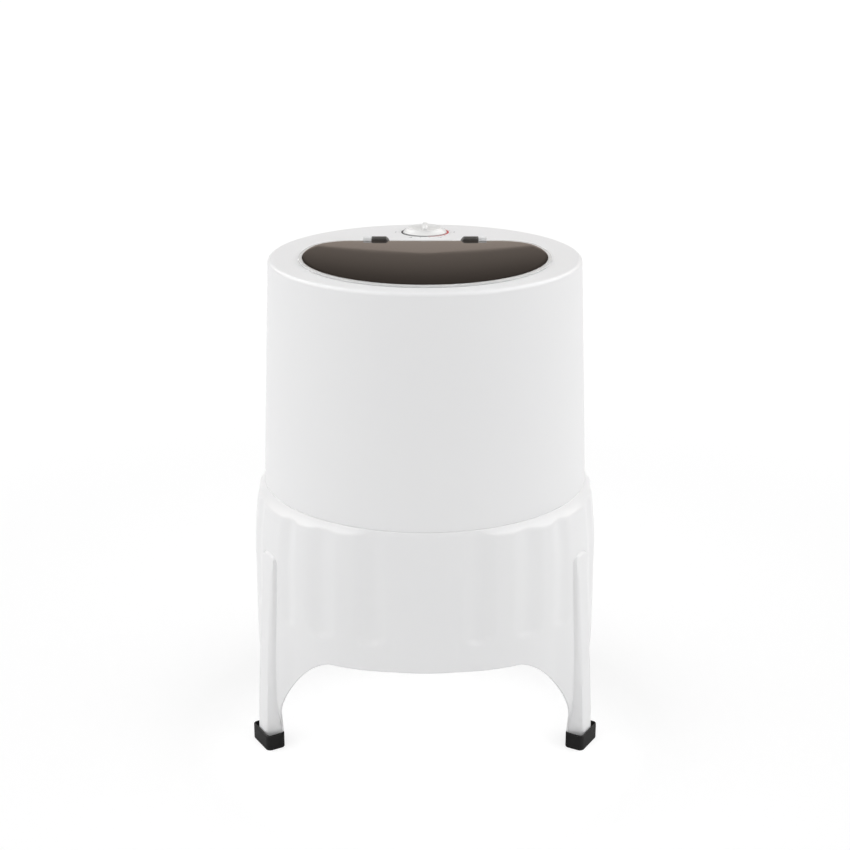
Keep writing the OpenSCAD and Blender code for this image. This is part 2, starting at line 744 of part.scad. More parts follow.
// Cord gland in the rear wall and its nut
module cord_gland() {
    seat = casing_r(gland_h);
    color(dark_grey) place() translate([0, seat, gland_h]) rotate([-90, 0, 0]) difference() {
        union() {
            translate([0, 0, 0.4]) cylinder(r = gland_r + 5, h = 3, $fn = 48);
            translate([0, 0, -16]) cylinder(r = gland_r, h = 17, $fn = 48);
            translate([0, 0, 3]) cylinder(r1 = gland_r + 2, r2 = cord_bore_r + 2, h = 9, $fn = 48);
        }
        translate([0, 0, -17]) cylinder(r = cord_bore_r, h = 40, $fn = 32);
    }
}
module gland_nut() {
    seat = casing_in(gland_h);
    color(dark_grey) place() translate([0, seat - 6.2, gland_h]) rotate([-90, 0, 0]) difference() {
        cylinder(r = gland_r + 5, h = 5, $fn = 6);
        translate([0, 0, -1]) cylinder(r = gland_r + slack, h = 8, $fn = 48);
    }
}

// Dial ring and timer
module dial_ring() {
    color(dark_grey) place() translate([0, timer_back, deck_h]) tube(dial_out_r, dial_in_r, dial_t);
}
module timer_case() {
    color(cream) place() translate([0, timer_back, 0]) difference() {
        union() {
            translate([0, 0, timer_case_low]) cylinder(r = timer_case_r, h = timer_depth + 1, $fn = 64);
            box(-timer_screw_x - 7, timer_screw_x + 7, -14, 14, timer_case_top, deck_under);
            box(-10, 10, timer_case_r - 6, timer_case_r + 10, timer_case_low + 8, timer_case_low + 22);
        }
        translate([0, 0, timer_case_low + 12])
            cylinder(r = spindle_r + slack, h = timer_depth + timer_plate_t, $fn = 32);
        for (s = [-1, 1])
            translate([s * timer_screw_x, 0, timer_case_top - 1]) cylinder(r = screw_r, h = 6, $fn = 24);
    }
}
module timer_screws() {
    color(steel) place()
        for (s = [-1, 1])
            translate([s * timer_screw_x, timer_back, deck_h]) mirror([0, 0, 1])
                screw_up(screw_r - slack, deck_t + timer_plate_t + 1, 4, 2);
}
module timer_spindle() {
    color(steel) place() translate([0, timer_back, timer_case_low + 12 + gap])
        cylinder(r = spindle_r, h = deck_h + knob_face_h - timer_case_low - 15, $fn = 32);
}
module timer_knob() {
    grip_half = 5;
    dish = 1.5;
    color(white_shell) place() translate([0, timer_back, 0]) difference() {
        union() {
            rotate_extrude($fn = 96) polygon(concat(
                [[0, knob_low], [knob_foot_r - 1, knob_low], [knob_foot_r, knob_low + 1]],
                [for (i = [1:5]) let (t = i / 5)
                    [mix(knob_foot_r, knob_face_r, 1 - pow(1 - t, 1.6)), mix(knob_low + 1, deck_h + knob_face_h - 1, t)]],
                [[knob_face_r - 1.2, deck_h + knob_face_h], [knob_face_r - 5, deck_h + knob_face_h - dish],
                 [0, deck_h + knob_face_h - dish]]
            ));
            intersection() {
                rotate([0, 90, 90]) translate([-(deck_h + knob_face_h - dish - 1), 0, -knob_face_r])
                    linear_extrude(2 * knob_face_r) polygon([
                        [0, -grip_half - 1.4], [0, grip_half + 1.4],
                        [-(knob_top_h - knob_face_h + dish), grip_half - 0.6],
                        [-(knob_top_h - knob_face_h + dish + 1), grip_half - 2],
                        [-(knob_top_h - knob_face_h + dish + 1), -grip_half + 2],
                        [-(knob_top_h - knob_face_h + dish), -grip_half + 0.6]
                    ]);
                rotate_extrude($fn = 96) polygon(concat(
                    [[0, knob_low], [knob_face_r - 3, knob_low]],
                    [for (a = [0:15:90]) [
                        (knob_face_r - 3) * cos(a),
                        deck_h + knob_face_h - dish + 0.8 + (knob_top_h - knob_face_h + dish - 0.8) * sin(a)
                    ]]
                ));
            }
        }
        difference() {
            translate([0, 0, knob_low - 1]) cylinder(r = knob_face_r, h = 5.4, $fn = 64);
            translate([0, 0, knob_low - 1]) cylinder(r = spindle_r + 4, h = 6, $fn = 48);
        }
        translate([0, 0, knob_low - 1]) cylinder(r = spindle_r + slack / 2, h = knob_face_h - 2, $fn = 32);
    }
}

// Hinge blocks on the deck, their pins and screws
module hinge_block(side) {
    low_x = notch_in + gap;
    high_x = hinge_x + hinge_w / 2;
    mirror([side < 0 ? 1 : 0, 0, 0]) translate([0, hinge_y, 0]) difference() {
        union() {
            box(low_x, high_x, -block_half, block_half, deck_h, hinge_z);
            translate([low_x, 0, hinge_z]) rotate([0, 90, 0])
                cylinder(r = hinge_lift + 0.2, h = high_x - low_x, $fn = 48);
        }
        // The inner end slopes down to the deck
        translate([low_x, -20, deck_h + 1]) rotate([0, -52, 0]) translate([-30, 0, 0]) cube([30 + 20, 40, 20]);
        translate([hinge_x - 8, 0, hinge_z]) rotate([0, 90, 0])
            cylinder(r = hinge_pin_r, h = hinge_w, $fn = 32);
        for (x = [-6, 6])
            translate([hinge_x + x, 0, deck_h - 1]) cylinder(r = screw_r, h = 2.6, $fn = 24);
        box(low_x - 20, high_x + 20, -20, 20, deck_h - 20, deck_h);
    }
}
module hinge_block_left() {
    color(dark_grey) place() hinge_block(-1);
}
module hinge_block_right() {
    color(dark_grey) place() hinge_block(1);
}
module hinge_pins() {
    color(steel) place()
        for (s = [0, 1])
            mirror([s, 0, 0]) translate([hinge_x - 8, hinge_y, hinge_z]) rotate([0, 90, 0])
                cylinder(r = hinge_pin_r, h = knuckle_x0 + knuckle_w - hinge_x + 8, $fn = 32);
}
module hinge_screws() {
    color(steel) place()
        for (s = [-1, 1], x = [-6, 6])
            translate([s * hinge_x + x, hinge_y, deck_under])
                screw_up(screw_r - slack, deck_t + 1.4, 4, 2.2);
}

// Lid: a clear rim with two knuckles, and the tinted window in it
module lid_rim() {
    ledge_corner = max(opening_corner_r - rim_ledge + 1.3, 3);
    color(clear_pale, 0.7) place() difference() {
        union() {
            difference() {
                translate([0, opening_y, lid_low]) d_prism(lid_r, lid_chord, opening_corner_r + 6, rim_t);
                translate([0, opening_y, ledge_z])
                    d_prism(rim_in_r, rim_in_chord - 6, opening_corner_r, rim_t);
                translate([0, opening_y, lid_low - 1])
                    d_prism(ledge_in_r, ledge_in_chord - 6, ledge_corner, rim_t + 2);
                for (s = [0, 1])
                    mirror([s, 0, 0])
                        box(notch_in, notch_out, hinge_y - notch_front, hinge_y + 20, lid_low - 1, lid_low + 20);
            }
            difference() {
                translate([0, opening_y, ledge_z - lid_lip - 1])
                    d_prism(ledge_in_r + lip_w, ledge_in_chord - 6 + lip_w, ledge_corner + lip_w, lid_lip + 1);
                translate([0, opening_y, ledge_z - lid_lip - 2])
                    d_prism(ledge_in_r, ledge_in_chord - 6, ledge_corner, lid_lip + 3);
            }
            for (s = [0, 1])
                mirror([s, 0, 0]) {
                    translate([knuckle_x0, hinge_y, hinge_z]) rotate([0, 90, 0])
                        cylinder(r = knuckle_r, h = knuckle_w, $fn = 48);
                    box(knuckle_x0, knuckle_x0 + knuckle_w, hinge_y - notch_front, hinge_y, lid_low, hinge_z);
                }
        }
        for (s = [0, 1])
            mirror([s, 0, 0]) translate([knuckle_x0 - 5, hinge_y, hinge_z]) rotate([0, 90, 0])
                cylinder(r = hinge_pin_r + slack, h = knuckle_w + 10, $fn = 48);
    }
}
// Plan radius of a rounded D shape about its centre, in direction t
function d_radius(r, chord, corner, t) =
    let (cx = sqrt(pow(r - corner, 2) - pow(chord - corner, 2)))
    let (cy = chord - corner)
    let (round_t = atan2(cy, cx), flat_t = atan2(chord, cx))
    let (u = t > 90 ? 180 - t : t)
    u >= flat_t && u <= 90 ? chord / sin(u)
    : u <= round_t ? r
    : let (b = cx * cos(u) + cy * sin(u)) b + sqrt(b * b - cx * cx - cy * cy + corner * corner);
window_steps = 72;
window_rings = [0.12, 0.3, 0.5, 0.68, 0.82, 0.93, 1];
function crown(u) = window_crown * (1 - pow(u, 2.2));
module lid_window() {
    edge_r = rim_in_r - gap;
    edge_chord = rim_in_chord - 6 - gap;
    corner = opening_corner_r - gap;
    directions = [for (i = [0:window_steps - 1]) -180 + (i + 0.5) * 360 / window_steps];
    sheet_points = function(z0) [
        for (u = window_rings, t = directions)
            let (r = u * d_radius(edge_r, edge_chord, corner, t))
            [r * cos(t), r * sin(t), z0 + crown(u)]
    ];
    n = window_steps;
    rings = len(window_rings);
    top = n * rings;
    points = concat(sheet_points(0), sheet_points(window_t), [[0, 0, crown(0)], [0, 0, crown(0) + window_t]]);
    skin = [
        for (k = [0:rings - 2], i = [0:n - 1])
            let (a = k * n + i, b = k * n + (i + 1) % n)
            each [[a, b, b + n], [a, b + n, a + n]]
    ];
    low_faces = concat(skin, [for (i = [0:n - 1]) [top * 2, (i + 1) % n, i]]);
    high_faces = concat(
        [for (f = skin) [f[2] + top, f[1] + top, f[0] + top]],
        [for (i = [0:n - 1]) [top * 2 + 1, top + i, top + (i + 1) % n]]
    );
    rim = [
        for (i = [0:n - 1])
            let (a = (rings - 1) * n + i, b = (rings - 1) * n + (i + 1) % n)
            each [[a, b, b + top], [a, b + top, a + top]]
    ];
    color(tinted, 0.8) place() translate([0, opening_y, ledge_z])
        polyhedron(points = points, faces = concat(low_faces, high_faces, rim), convexity = 4);
}

// Impeller: a low cone with raised vanes round a hub
function impeller_z(r) = impeller_low + 6 + 24 * pow(1 - r / impeller_r, 2.4);
function vane_z(r) = mix(impeller_low + 14, hub_top - 3, pow(1 - r / impeller_r, 0.8));
module impeller() {
    vane_half = 6;
    color(tub_grey) place() translate([0, drive_y, 0]) difference() {
        union() {
            rotate_extrude($fn = 128) polygon(concat(
                [[0, impeller_low], [impeller_r, impeller_low]],
                [for (i = [0:9]) let (r = impeller_r * (1 - i / 10)) [r, impeller_z(r)]],
                [[0, impeller_z(0)]]
            ));
            cylinder_from(impeller_low + 1, hub_top, 24);
            intersection() {
                rotate_extrude($fn = 128) polygon(concat(
                    [[18, impeller_low + 1], [impeller_r - 5, impeller_low + 1]],
                    [for (i = [0:7]) let (r = mix(impeller_r - 5, 18, i / 7)) [r, vane_z(r)]]
                ));
                for (i = [0:vane_count - 1])
                    rotate(i * 360 / vane_count)
                        box(16, impeller_r, -vane_half, vane_half, impeller_low, hub_top + 10);
            }
        }
        translate([0, 0, impeller_low - 1]) cylinder(r = shaft_r + slack, h = shaft_high - impeller_low + 1, $fn = 48);
        translate([0, 0, shaft_high - 1]) cylinder(r = 3.2, h = 40, $fn = 32);
        translate([0, 0, hub_top - 6]) cylinder(r = 10, h = 10, $fn = 40);
    }
}
module cylinder_from(z0, z1, r) {
    translate([0, 0, z0]) cylinder(r = r, h = z1 - z0, $fn = 64);
}
module impeller_screw() {
    color(steel) place() translate([0, drive_y, hub_top - 6 + slack]) mirror([0, 0, 1])
        screw_up(3, 12, 7, 3.6);
}
module impeller_cap() {
    color(tub_grey) place() translate([0, drive_y, hub_top]) difference() {
        rotate_extrude($fn = 64) polygon(concat([[0, -3], [9.8, -3], [9.8, 0], [22, 0]], arc(0, 0, 22, 12, 90, 1),
            [[0, 8]]));
        translate([0, 0, 8]) cylinder(r = 30, h = 40, $fn = 64);
        translate([0, 0, -4]) cylinder(r = 8, h = 3.5, $fn = 40);
    }
}

// Bearing housing under the tub, bushes and seal
module bearing_housing() {
    color(cast_grey) place() translate([0, drive_y, 0]) difference() {
        union() {
            translate([0, 0, housing_flange_low]) cylinder(r = housing_r, h = housing_flange_t, $fn = 96);
            translate([0, 0, housing_low]) cylinder(r = housing_hub_r, h = tub_under - housing_low - 1, $fn = 64);
            for (a = [0:60:300])
                rotate(a) rotate([90, 0, 0]) translate([0, 0, -2.5]) linear_extrude(5) polygon([
                    [housing_hub_r - 2, housing_low + 8], [housing_hub_r + 2, housing_low + 8],
                    [housing_r - 6, housing_flange_low + 1], [housing_hub_r - 2, housing_flange_low + 1]
                ]);
        }
        translate([0, 0, housing_low - 1]) cylinder(r = bush_r, h = bush_len + 1, $fn = 48);
        translate([0, 0, housing_low - 2]) cylinder(r = shaft_r + 4, h = 100, $fn = 48);
        translate([0, 0, seal_low - bush_len]) cylinder(r = bush_r, h = 60, $fn = 48);
        around(4, housing_pcd_r, 45) translate([0, 0, housing_flange_low - 1])
            cylinder(r = screw_r + 0.2, h = housing_flange_t + 2, $fn = 24);
    }
}
module upper_bush() {
    color("#B08D57") place() translate([0, drive_y, seal_low - bush_len + slack])
        tube(bush_r - slack / 2, shaft_r + slack, bush_len - 2 * slack);
}
module lower_bush() {
    color("#B08D57") place() translate([0, drive_y, housing_low])
        tube(bush_r - slack / 2, shaft_r + slack, bush_len - slack);
}
module shaft_seal() {
    color(rubber_black) place() translate([0, drive_y, seal_low])
        tube(bush_r - 0.2, shaft_r + slack, floor_top - seal_low + 1.5);
}
module housing_screws() {
    color(steel) place() translate([0, drive_y, housing_flange_low])
        around(4, housing_pcd_r, 45) screw_up(screw_r - slack, housing_flange_t + 2.6, 4.4, 3);
}
module drive_shaft() {
    color(steel) place() translate([0, drive_y, 0]) difference() {
        translate([0, 0, shaft_low]) cylinder(r = shaft_r, h = shaft_high - shaft_low - 1.2, $fn = 48);
        translate([0, 0, shaft_high - 14]) cylinder(r = 3.05, h = 20, $fn = 32);
    }
}

// Pulleys: a rim with a V groove, joined to the hub by spokes or a web
module grooved_rim(pitch_r, inner_r, half) {
    rim_out = pitch_r + belt_t / 2 + 2;
    groove_low = pitch_r - belt_t / 2 - 0.6;
    half_low = belt_w / 2 + 0.6;
    half_high = half_low + 1.6;
    rotate_extrude($fn = 96) polygon([
        [inner_r, -half], [rim_out, -half], [rim_out, -half_high], [groove_low, -half_low],
        [groove_low, half_low], [rim_out, half_high], [rim_out, half], [inner_r, half]
    ]);
}
module drive_pulley() {
    rim_in = large_pitch_r - belt_t / 2 - 7;
    hub_r = 18;
    color(cast_grey) place() translate([0, drive_y, belt_h]) difference() {
        union() {
            grooved_rim(large_pitch_r, rim_in, pulley_half);
            translate([0, 0, -pulley_half - hub_over]) cylinder(r = hub_r, h = 2 * (pulley_half + hub_over), $fn = 64);
            for (a = [0:60:300])
                rotate(a) translate([hub_r - 3, -6, -4]) cube([rim_in - hub_r + 5, 12, 8]);
        }
        translate([0, 0, -30]) cylinder(r = shaft_r + slack / 2, h = 60, $fn = 48);
    }
}
module pulley_nut() {
    color(steel) place() translate([0, drive_y, pulley_low - hub_over - nut_h]) difference() {
        cylinder(r = 11, h = nut_h, $fn = 6);
        translate([0, 0, -1]) cylinder(r = shaft_r + slack / 2, h = nut_h + 2, $fn = 48);
    }
}
module pulley_spacer() {
    color(steel) place() translate([0, drive_y, pulley_high + hub_over]) tube(shaft_r + 5, shaft_r + slack / 2, spacer_h);
}
module motor_pulley() {
    color(cast_grey) place() translate([0, motor_y, belt_h]) difference() {
        union() {
            grooved_rim(small_pitch_r, motor_shaft_r + 2, pulley_half);
            translate([0, 0, -pulley_half]) cylinder(r = motor_shaft_r + 4, h = 2 * pulley_half + 8, $fn = 48);
        }
        translate([0, 0, -30]) cylinder(r = motor_shaft_r + slack / 2, h = 80, $fn = 48);
    }
}
// The belt's plan outline: two round ends and the straight runs between their tangent points
module belt_outline(large, small) {
    lean = asin((large - small) / belt_span);
    circle(r = large, $fn = 96);
    translate([0, belt_span]) circle(r = small, $fn = 64);
    polygon([
        [large * cos(lean), large * sin(lean)], [small * cos(lean), belt_span + small * sin(lean)],
        [-small * cos(lean), belt_span + small * sin(lean)], [-large * cos(lean), large * sin(lean)]
    ]);
}
module drive_belt() {
    color(rubber_black) place() translate([0, drive_y, belt_h - belt_w / 2]) difference() {
        linear_extrude(belt_w) belt_outline(large_pitch_r + belt_t / 2, small_pitch_r + belt_t / 2);
        translate([0, 0, -1]) linear_extrude(belt_w + 2)
            belt_outline(large_pitch_r - belt_t / 2, small_pitch_r - belt_t / 2);
    }
}

// Motor hung from a hat-shaped bracket
module motor_bracket() {
    slot_pcd = bolt_pcd_r;
    color(steel) place() difference() {
        union() {
            box(-bracket_half - bracket_t, bracket_half + bracket_t, bracket_front, bracket_rear, plate_low, plate_high);
            for (s = [0, 1])
                mirror([s, 0, 0]) {
                    box(bracket_half, bracket_half + bracket_t, bracket_front, bracket_flange_rear, plate_low, bracket_high);
                    box(bracket_half, bracket_half + bracket_t + bracket_flange, bracket_front, bracket_flange_rear,
                        bracket_high - bracket_t, bracket_high);
                    box(bracket_half, bracket_half + bracket_t, bracket_flange_rear - 1, bracket_rear, plate_low,
                        plate_high + 14);
                }
        }
        translate([0, motor_y, plate_low - 1]) {
            cylinder(r = 30, h = bracket_t + 2, $fn = 64);
            around(4, slot_pcd, 45) cylinder(r = 6, h = bracket_t + 2, $fn = 32);
        }
        for (s = [-1, 1], y = bracket_screw_ys)
            translate([s * bracket_screw_x, y, bracket_high - bracket_t - 1])
                cylinder(r = screw_r + 0.2, h = bracket_t + 2, $fn = 24);
        for (s = [0, 1])
            mirror([s, 0, 0]) translate([bracket_half - 1, bracket_front + 40, bracket_high - 42])
                rotate([0, 90, 0]) cylinder(r = 12, h = bracket_t + 2, $fn = 40);
    }
}
module bracket_screws() {
    color(steel) place()
        for (s = [-1, 1], y = bracket_screw_ys)
            translate([s * bracket_screw_x, y, bracket_high - bracket_t])
                screw_up(screw_r - slack, bracket_t + bracket_boss_h - 1.5, 4.6, 3);
}
module motor_grommets() {
    color(rubber_black) place() translate([0, motor_y, shield_top])
        around(4, bolt_pcd_r, 45) {
            tube(9, bolt_r + slack, grommet_h);
            translate([0, 0, grommet_h]) tube(6 - slack, bolt_r + slack, bracket_t);
            translate([0, 0, grommet_h + bracket_t]) tube(8, bolt_r + slack, 2);
        }
}
module shield(flip) {
    // A cup-shaped end shield, open towards the stator, with a bearing boss and vents
    translate([0, motor_y, flip ? stator_low - shield_h : stator_high])
        translate([0, 0, flip ? shield_h : 0]) mirror([0, 0, flip ? 1 : 0]) difference() {
            union() {
                cylinder(r = stator_r, h = shield_h - 4, $fn = 96);
                cylinder(r1 = stator_r, r2 = stator_r - 4, h = shield_h, $fn = 96);
            }
            difference() {
                translate([0, 0, -1]) cylinder(r = stator_r - shield_wall, h = shield_h - shield_wall + 1, $fn = 96);
                translate([0, 0, 2]) cylinder(r = 14, h = shield_h, $fn = 48);
                around(4, bolt_pcd_r, 45) cylinder(r = 7, h = shield_h, $fn = 32);
            }
            translate([0, 0, -2]) cylinder(r = 9, h = shield_h - 1, $fn = 40);
            translate([0, 0, -2]) cylinder(r = motor_shaft_r + 1.5, h = shield_h + 8, $fn = 40);
            around(4, bolt_pcd_r, 45) translate([0, 0, -1]) cylinder(r = bolt_r + 0.2, h = shield_h + 4, $fn = 24);
            for (a = [0:30:330])
                if (a % 90 != 0)
                    rotate(a + 45) translate([32, 0, shield_h - shield_wall - 2]) cylinder(r = 5, h = 10, $fn = 24);
        }
}
module motor_top_shield() {
    color(cast_grey) place() shield(false);
}
module motor_bottom_shield() {
    color(cast_grey) place() shield(true);
}
module motor_stator() {
    slots = 24;
    color(steel) place() translate([0, motor_y, stator_low]) difference() {
        cylinder(r = stator_r, h = stator_h, $fn = 96);
        translate([0, 0, -1]) cylinder(r = rotor_r + 0.5, h = stator_h + 2, $fn = 64);
        around(slots, rotor_r + 8) translate([-5, -2, -1]) cube([12, 4, stator_h + 2]);
        around(4, bolt_pcd_r, 45) translate([0, 0, -1]) cylinder(r = bolt_r + 0.2, h = stator_h + 2, $fn = 24);
    }
}
module motor_windings() {
    coil_h = 8;
    color(copper) place() translate([0, motor_y, 0])
        for (z = [stator_low - coil_h, stator_high])
            translate([0, 0, z]) rotate_extrude($fn = 64)
                polygon([[rotor_r + 3, 0], [rotor_r + 8.5, 0], [rotor_r + 8.5, coil_h - 2],
                    [rotor_r + 6.5, coil_h], [rotor_r + 5, coil_h], [rotor_r + 3, coil_h - 2]]);
}
module motor_bearings() {
    color("#B08D57") place() translate([0, motor_y, 0])
        for (z = [stator_high + shield_h - 14, stator_low - shield_h + 4])
            translate([0, 0, z]) tube(9 - slack / 2, motor_shaft_r + slack, 10);
}
module motor_bolts() {
    low = shield_low - slack;
    high = plate_high + 2 + slack;
    color(steel) place() translate([0, motor_y, low])
        around(4, bolt_pcd_r, 45) {
            screw_up(bolt_r, high - low + 8, 4.6, 4);
            translate([0, 0, high - low]) cylinder(r = 5, h = 5, $fn = 6);
        }
}
module rotor_core() {
    color(steel) place() translate([0, motor_y, stator_low + 2]) difference() {
        cylinder(r = rotor_r, h = stator_h - 4, $fn = 64);
        translate([0, 0, -1]) cylinder(r = motor_shaft_r + slack / 2, h = stator_h, $fn = 40);
        around(6, 22) translate([0, 0, -1]) cylinder(r = 4, h = stator_h, $fn = 24);
    }
}
module motor_shaft() {
    color(steel) place() translate([0, motor_y, shield_low - 16])
        cylinder(r = motor_shaft_r, h = pulley_high + 6 - shield_low + 16, $fn = 40);
}
module cooling_fan() {
    fan_r = 44;
    color(cream) place() translate([0, motor_y, shield_low - 14]) difference() {
        union() {
            cylinder(r = 12, h = 11, $fn = 48);
            cylinder(r = fan_r, h = 1.6, $fn = 64);
            around(9, 0) rotate(12) translate([10, -0.8, 0]) cube([fan_r - 11, 1.6, 9]);
        }
        translate([0, 0, -1]) cylinder(r = motor_shaft_r + slack / 2, h = 20, $fn = 40);
    }
}

// Capacitor on the bracket's side, its clip, and the wiring
module capacitor() {
    color(cream) place() translate([capacitor_x, capacitor_y, capacitor_low]) {
        cylinder(r = capacitor_r, h = capacitor_h, $fn = 64);
        for (x = [-7, 7]) translate([x - 0.4, -3, -8]) cube([0.8, 6, 9]);
    }
}
module capacitor_clip() {
    z = capacitor_low + 34;
    color(steel) place() difference() {
        union() {
            translate([capacitor_x, capacitor_y, z]) cylinder(r = capacitor_r + 1.6, h = 14, $fn = 64);
            box(bracket_half + bracket_t, bracket_half + bracket_t + 1.2, capacitor_y - 34, capacitor_y, z, z + 14);
        }
        translate([capacitor_x, capacitor_y, z - 1]) cylinder(r = capacitor_r + slack, h = 16, $fn = 64);
        translate([capacitor_x, capacitor_y, z - 1]) rotate(45) translate([0, -3, 0]) cube([40, 6, 16]);
        box(bracket_half - 10, bracket_half + bracket_t, capacitor_y - 40, capacitor_y + 40, z - 1, z + 16);
    }
}
module terminal_block() {
    // Screwed to the inside of the rear wall beside the gland
    x = 46;
    y = casing_in(block_z) * cos(asin((x + 20) / casing_in(block_z))) - 17;
    color(cream) place() difference() {
        union() {
            box(x - 20, x + 20, y, y + 14, block_z - 10, block_z + 10);
            box(x - 20, x - 14, y + 13, y + 19, block_z - 10, block_z + 10);
        }
        for (k = [-1, 0, 1])
            translate([x + 12 * k, y - 1, block_z]) rotate([-90, 0, 0]) cylinder(r = 2, h = 6, $fn = 24);
        rotate_extrude($fn = 180) polygon([
            [casing_in(block_z - 12) - 0.1, block_z - 12], [casing_in(block_z - 12) + 60, block_z - 12],
            [casing_in(block_z + 12) + 60, block_z + 12], [casing_in(block_z + 12) - 0.1, block_z + 12]
        ]);
    }
}
// A lead of straight runs along the axes, with round joints
module lead(points, r) {
    for (i = [0:len(points) - 2]) {
        run = points[i + 1] - points[i];
        low = [for (k = [0:2]) min(points[i][k], points[i + 1][k])];
        turn = run[0] != 0 ? [0, 90, 0] : run[1] != 0 ? [-90, 0, 0] : [0, 0, 0];
        translate(low) rotate(turn) cylinder(r = r, h = norm(run), $fn = 24);
        if (i > 0) translate(points[i]) sphere(r = r + 0.4, $fn = 24);
    }
}
module wiring_loom() {
    block_y = casing_in(block_z) * cos(asin(66 / casing_in(block_z))) - 17;
    timer_y = timer_back + timer_case_r + loom_r + 1;
    timer_z = timer_case_low - 26;
    motor_z = stator_high - 25;
    motor_lead_x = 40;
    shell_y = motor_y + sqrt(stator_r * stator_r - pow(motor_lead_x - loom_r, 2)) + 0.5;
    color(dark_grey) place() {
        lead([
            [52, block_y + 4, block_z + 10], [52, block_y + 4, timer_z], [4, block_y + 4, timer_z],
            [4, timer_y, timer_z], [4, timer_y, timer_case_low + 8 - gap]
        ], loom_r);
        lead([
            [motor_lead_x, block_y + 4, block_z - 10], [motor_lead_x, block_y + 4, motor_z],
            [motor_lead_x, shell_y, motor_z]
        ], loom_r);
    }
}

// Lint filter: a frame that slides up in its rails, with a fine mesh
module filter_frame() {
    bar = 8;
    x = -filter_face - filter_t;
    low = filter_low + 4 + gap;
    color(white_shell) place() translate([0, tub_axis_y, 0]) difference() {
        union() {
            box(x, x + filter_t, -filter_w / 2, filter_w / 2, low, low + filter_h);
            box(x, x + filter_t + 8, -14, 14, low + filter_h - 10, low + filter_h - 6);
        }
        box(x - 1, x + filter_t + 1, -filter_w / 2 + bar, -bar / 4, low + bar, low + filter_h - 18);
        box(x - 1, x + filter_t + 1, bar / 4, filter_w / 2 - bar, low + bar, low + filter_h - 18);
    }
}
module filter_mesh() {
    bar = 8;
    pitch = 7;
    x = -filter_face - filter_t / 2;
    low = filter_low + 4 + gap;
    color(cream) place() translate([0, tub_axis_y, 0])
        for (s = [0, 1])
            mirror([0, s, 0]) {
                for (z = [low + bar + pitch : pitch : low + filter_h - 18 - 2])
                    box(x - 0.4, x + 0.4, bar / 4, filter_w / 2 - bar, z - 0.5, z + 0.5);
                for (y = [bar / 4 + pitch : pitch : filter_w / 2 - bar - 2])
                    box(x - 0.4, x + 0.4, y - 0.5, y + 0.5, low + bar, low + filter_h - 18);
            }
}

tub_casing();
base_skirt();
foot_left();
foot_right();
foot_rear();
wash_tub();
tub_screws();
drain_grate();
drain_gasket();
drain_elbow();
drain_clamp();
cord_gland();
gland_nut();
dial_ring();
timer_case();
timer_screws();
hinge_block_left();
hinge_block_right();
hinge_pins();
hinge_screws();
bearing_housing();
upper_bush();
lower_bush();
shaft_seal();
housing_screws();
motor_bracket();
bracket_screws();
motor_grommets();
motor_top_shield();
motor_bottom_shield();
motor_stator();
motor_windings();
motor_bearings();
motor_bolts();
capacitor();
capacitor_clip();
drive_belt();
terminal_block();
wiring_loom();
lid_rim();
lid_window();
timer_knob();
timer_spindle();
impeller();
impeller_cap();
impeller_screw();
drive_shaft();
drive_pulley();
pulley_nut();
pulley_spacer();
rotor_core();
motor_shaft();
motor_pulley();
cooling_fan();
filter_frame();
filter_mesh();
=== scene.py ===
import json
import math

import bmesh
import bpy
import numpy as np
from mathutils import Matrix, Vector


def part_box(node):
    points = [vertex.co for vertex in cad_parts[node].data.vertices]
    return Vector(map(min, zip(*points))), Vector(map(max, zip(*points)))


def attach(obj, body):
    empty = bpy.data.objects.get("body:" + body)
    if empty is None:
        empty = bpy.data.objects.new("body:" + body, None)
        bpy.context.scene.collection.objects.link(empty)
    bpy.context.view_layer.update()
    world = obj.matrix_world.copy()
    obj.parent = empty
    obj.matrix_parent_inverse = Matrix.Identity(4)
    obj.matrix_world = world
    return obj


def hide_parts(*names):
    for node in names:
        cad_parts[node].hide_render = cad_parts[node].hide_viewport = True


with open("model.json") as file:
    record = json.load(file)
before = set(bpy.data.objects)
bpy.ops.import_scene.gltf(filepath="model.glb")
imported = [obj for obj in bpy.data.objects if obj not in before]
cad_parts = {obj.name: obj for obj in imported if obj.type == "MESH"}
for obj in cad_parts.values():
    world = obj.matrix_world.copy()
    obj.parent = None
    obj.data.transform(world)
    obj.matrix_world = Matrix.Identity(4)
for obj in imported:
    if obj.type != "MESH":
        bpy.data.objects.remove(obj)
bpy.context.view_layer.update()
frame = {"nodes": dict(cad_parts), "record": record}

casingLow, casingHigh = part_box("tub_casing")
impellerLow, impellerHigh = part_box("impeller")
axisY = (casingLow[1] + casingHigh[1]) / 2  # the casing's axis, in front of the origin
drumY = (impellerLow[1] + impellerHigh[1]) / 2  # axis of the tub and of the lid's round part
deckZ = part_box("dial_ring")[0][2]
collarZ = 0.437  # where the casing stands on the skirt
print("frame loaded, casing axis at y =", round(axisY, 4))


# Camera: dead ahead, looking down at 18.5 degrees
cameraView = {"distance": 2.665, "height": 1.4154, "tilt": 71.5, "lens": 69.46, "sensor": 36.0, "clipEnd": 200}


def addCamera():
    data = bpy.data.cameras.new("studioCamera")
    data.lens = cameraView["lens"]
    data.sensor_width = cameraView["sensor"]
    data.clip_end = cameraView["clipEnd"]
    camera = bpy.data.objects.new("studioCamera", data)
    camera.location = (0, axisY - cameraView["distance"], cameraView["height"])
    camera.rotation_euler = (math.radians(cameraView["tilt"]), 0, 0)
    bpy.context.collection.objects.link(camera)
    bpy.context.scene.camera = camera


# Node helpers
def addNode(tree, kind, **values):
    node = tree.nodes.new(kind)
    for name, value in values.items():
        setattr(node, name, value)
    return node


def setInputs(node, values):
    for name, value in values.items():
        node.inputs[name].default_value = value


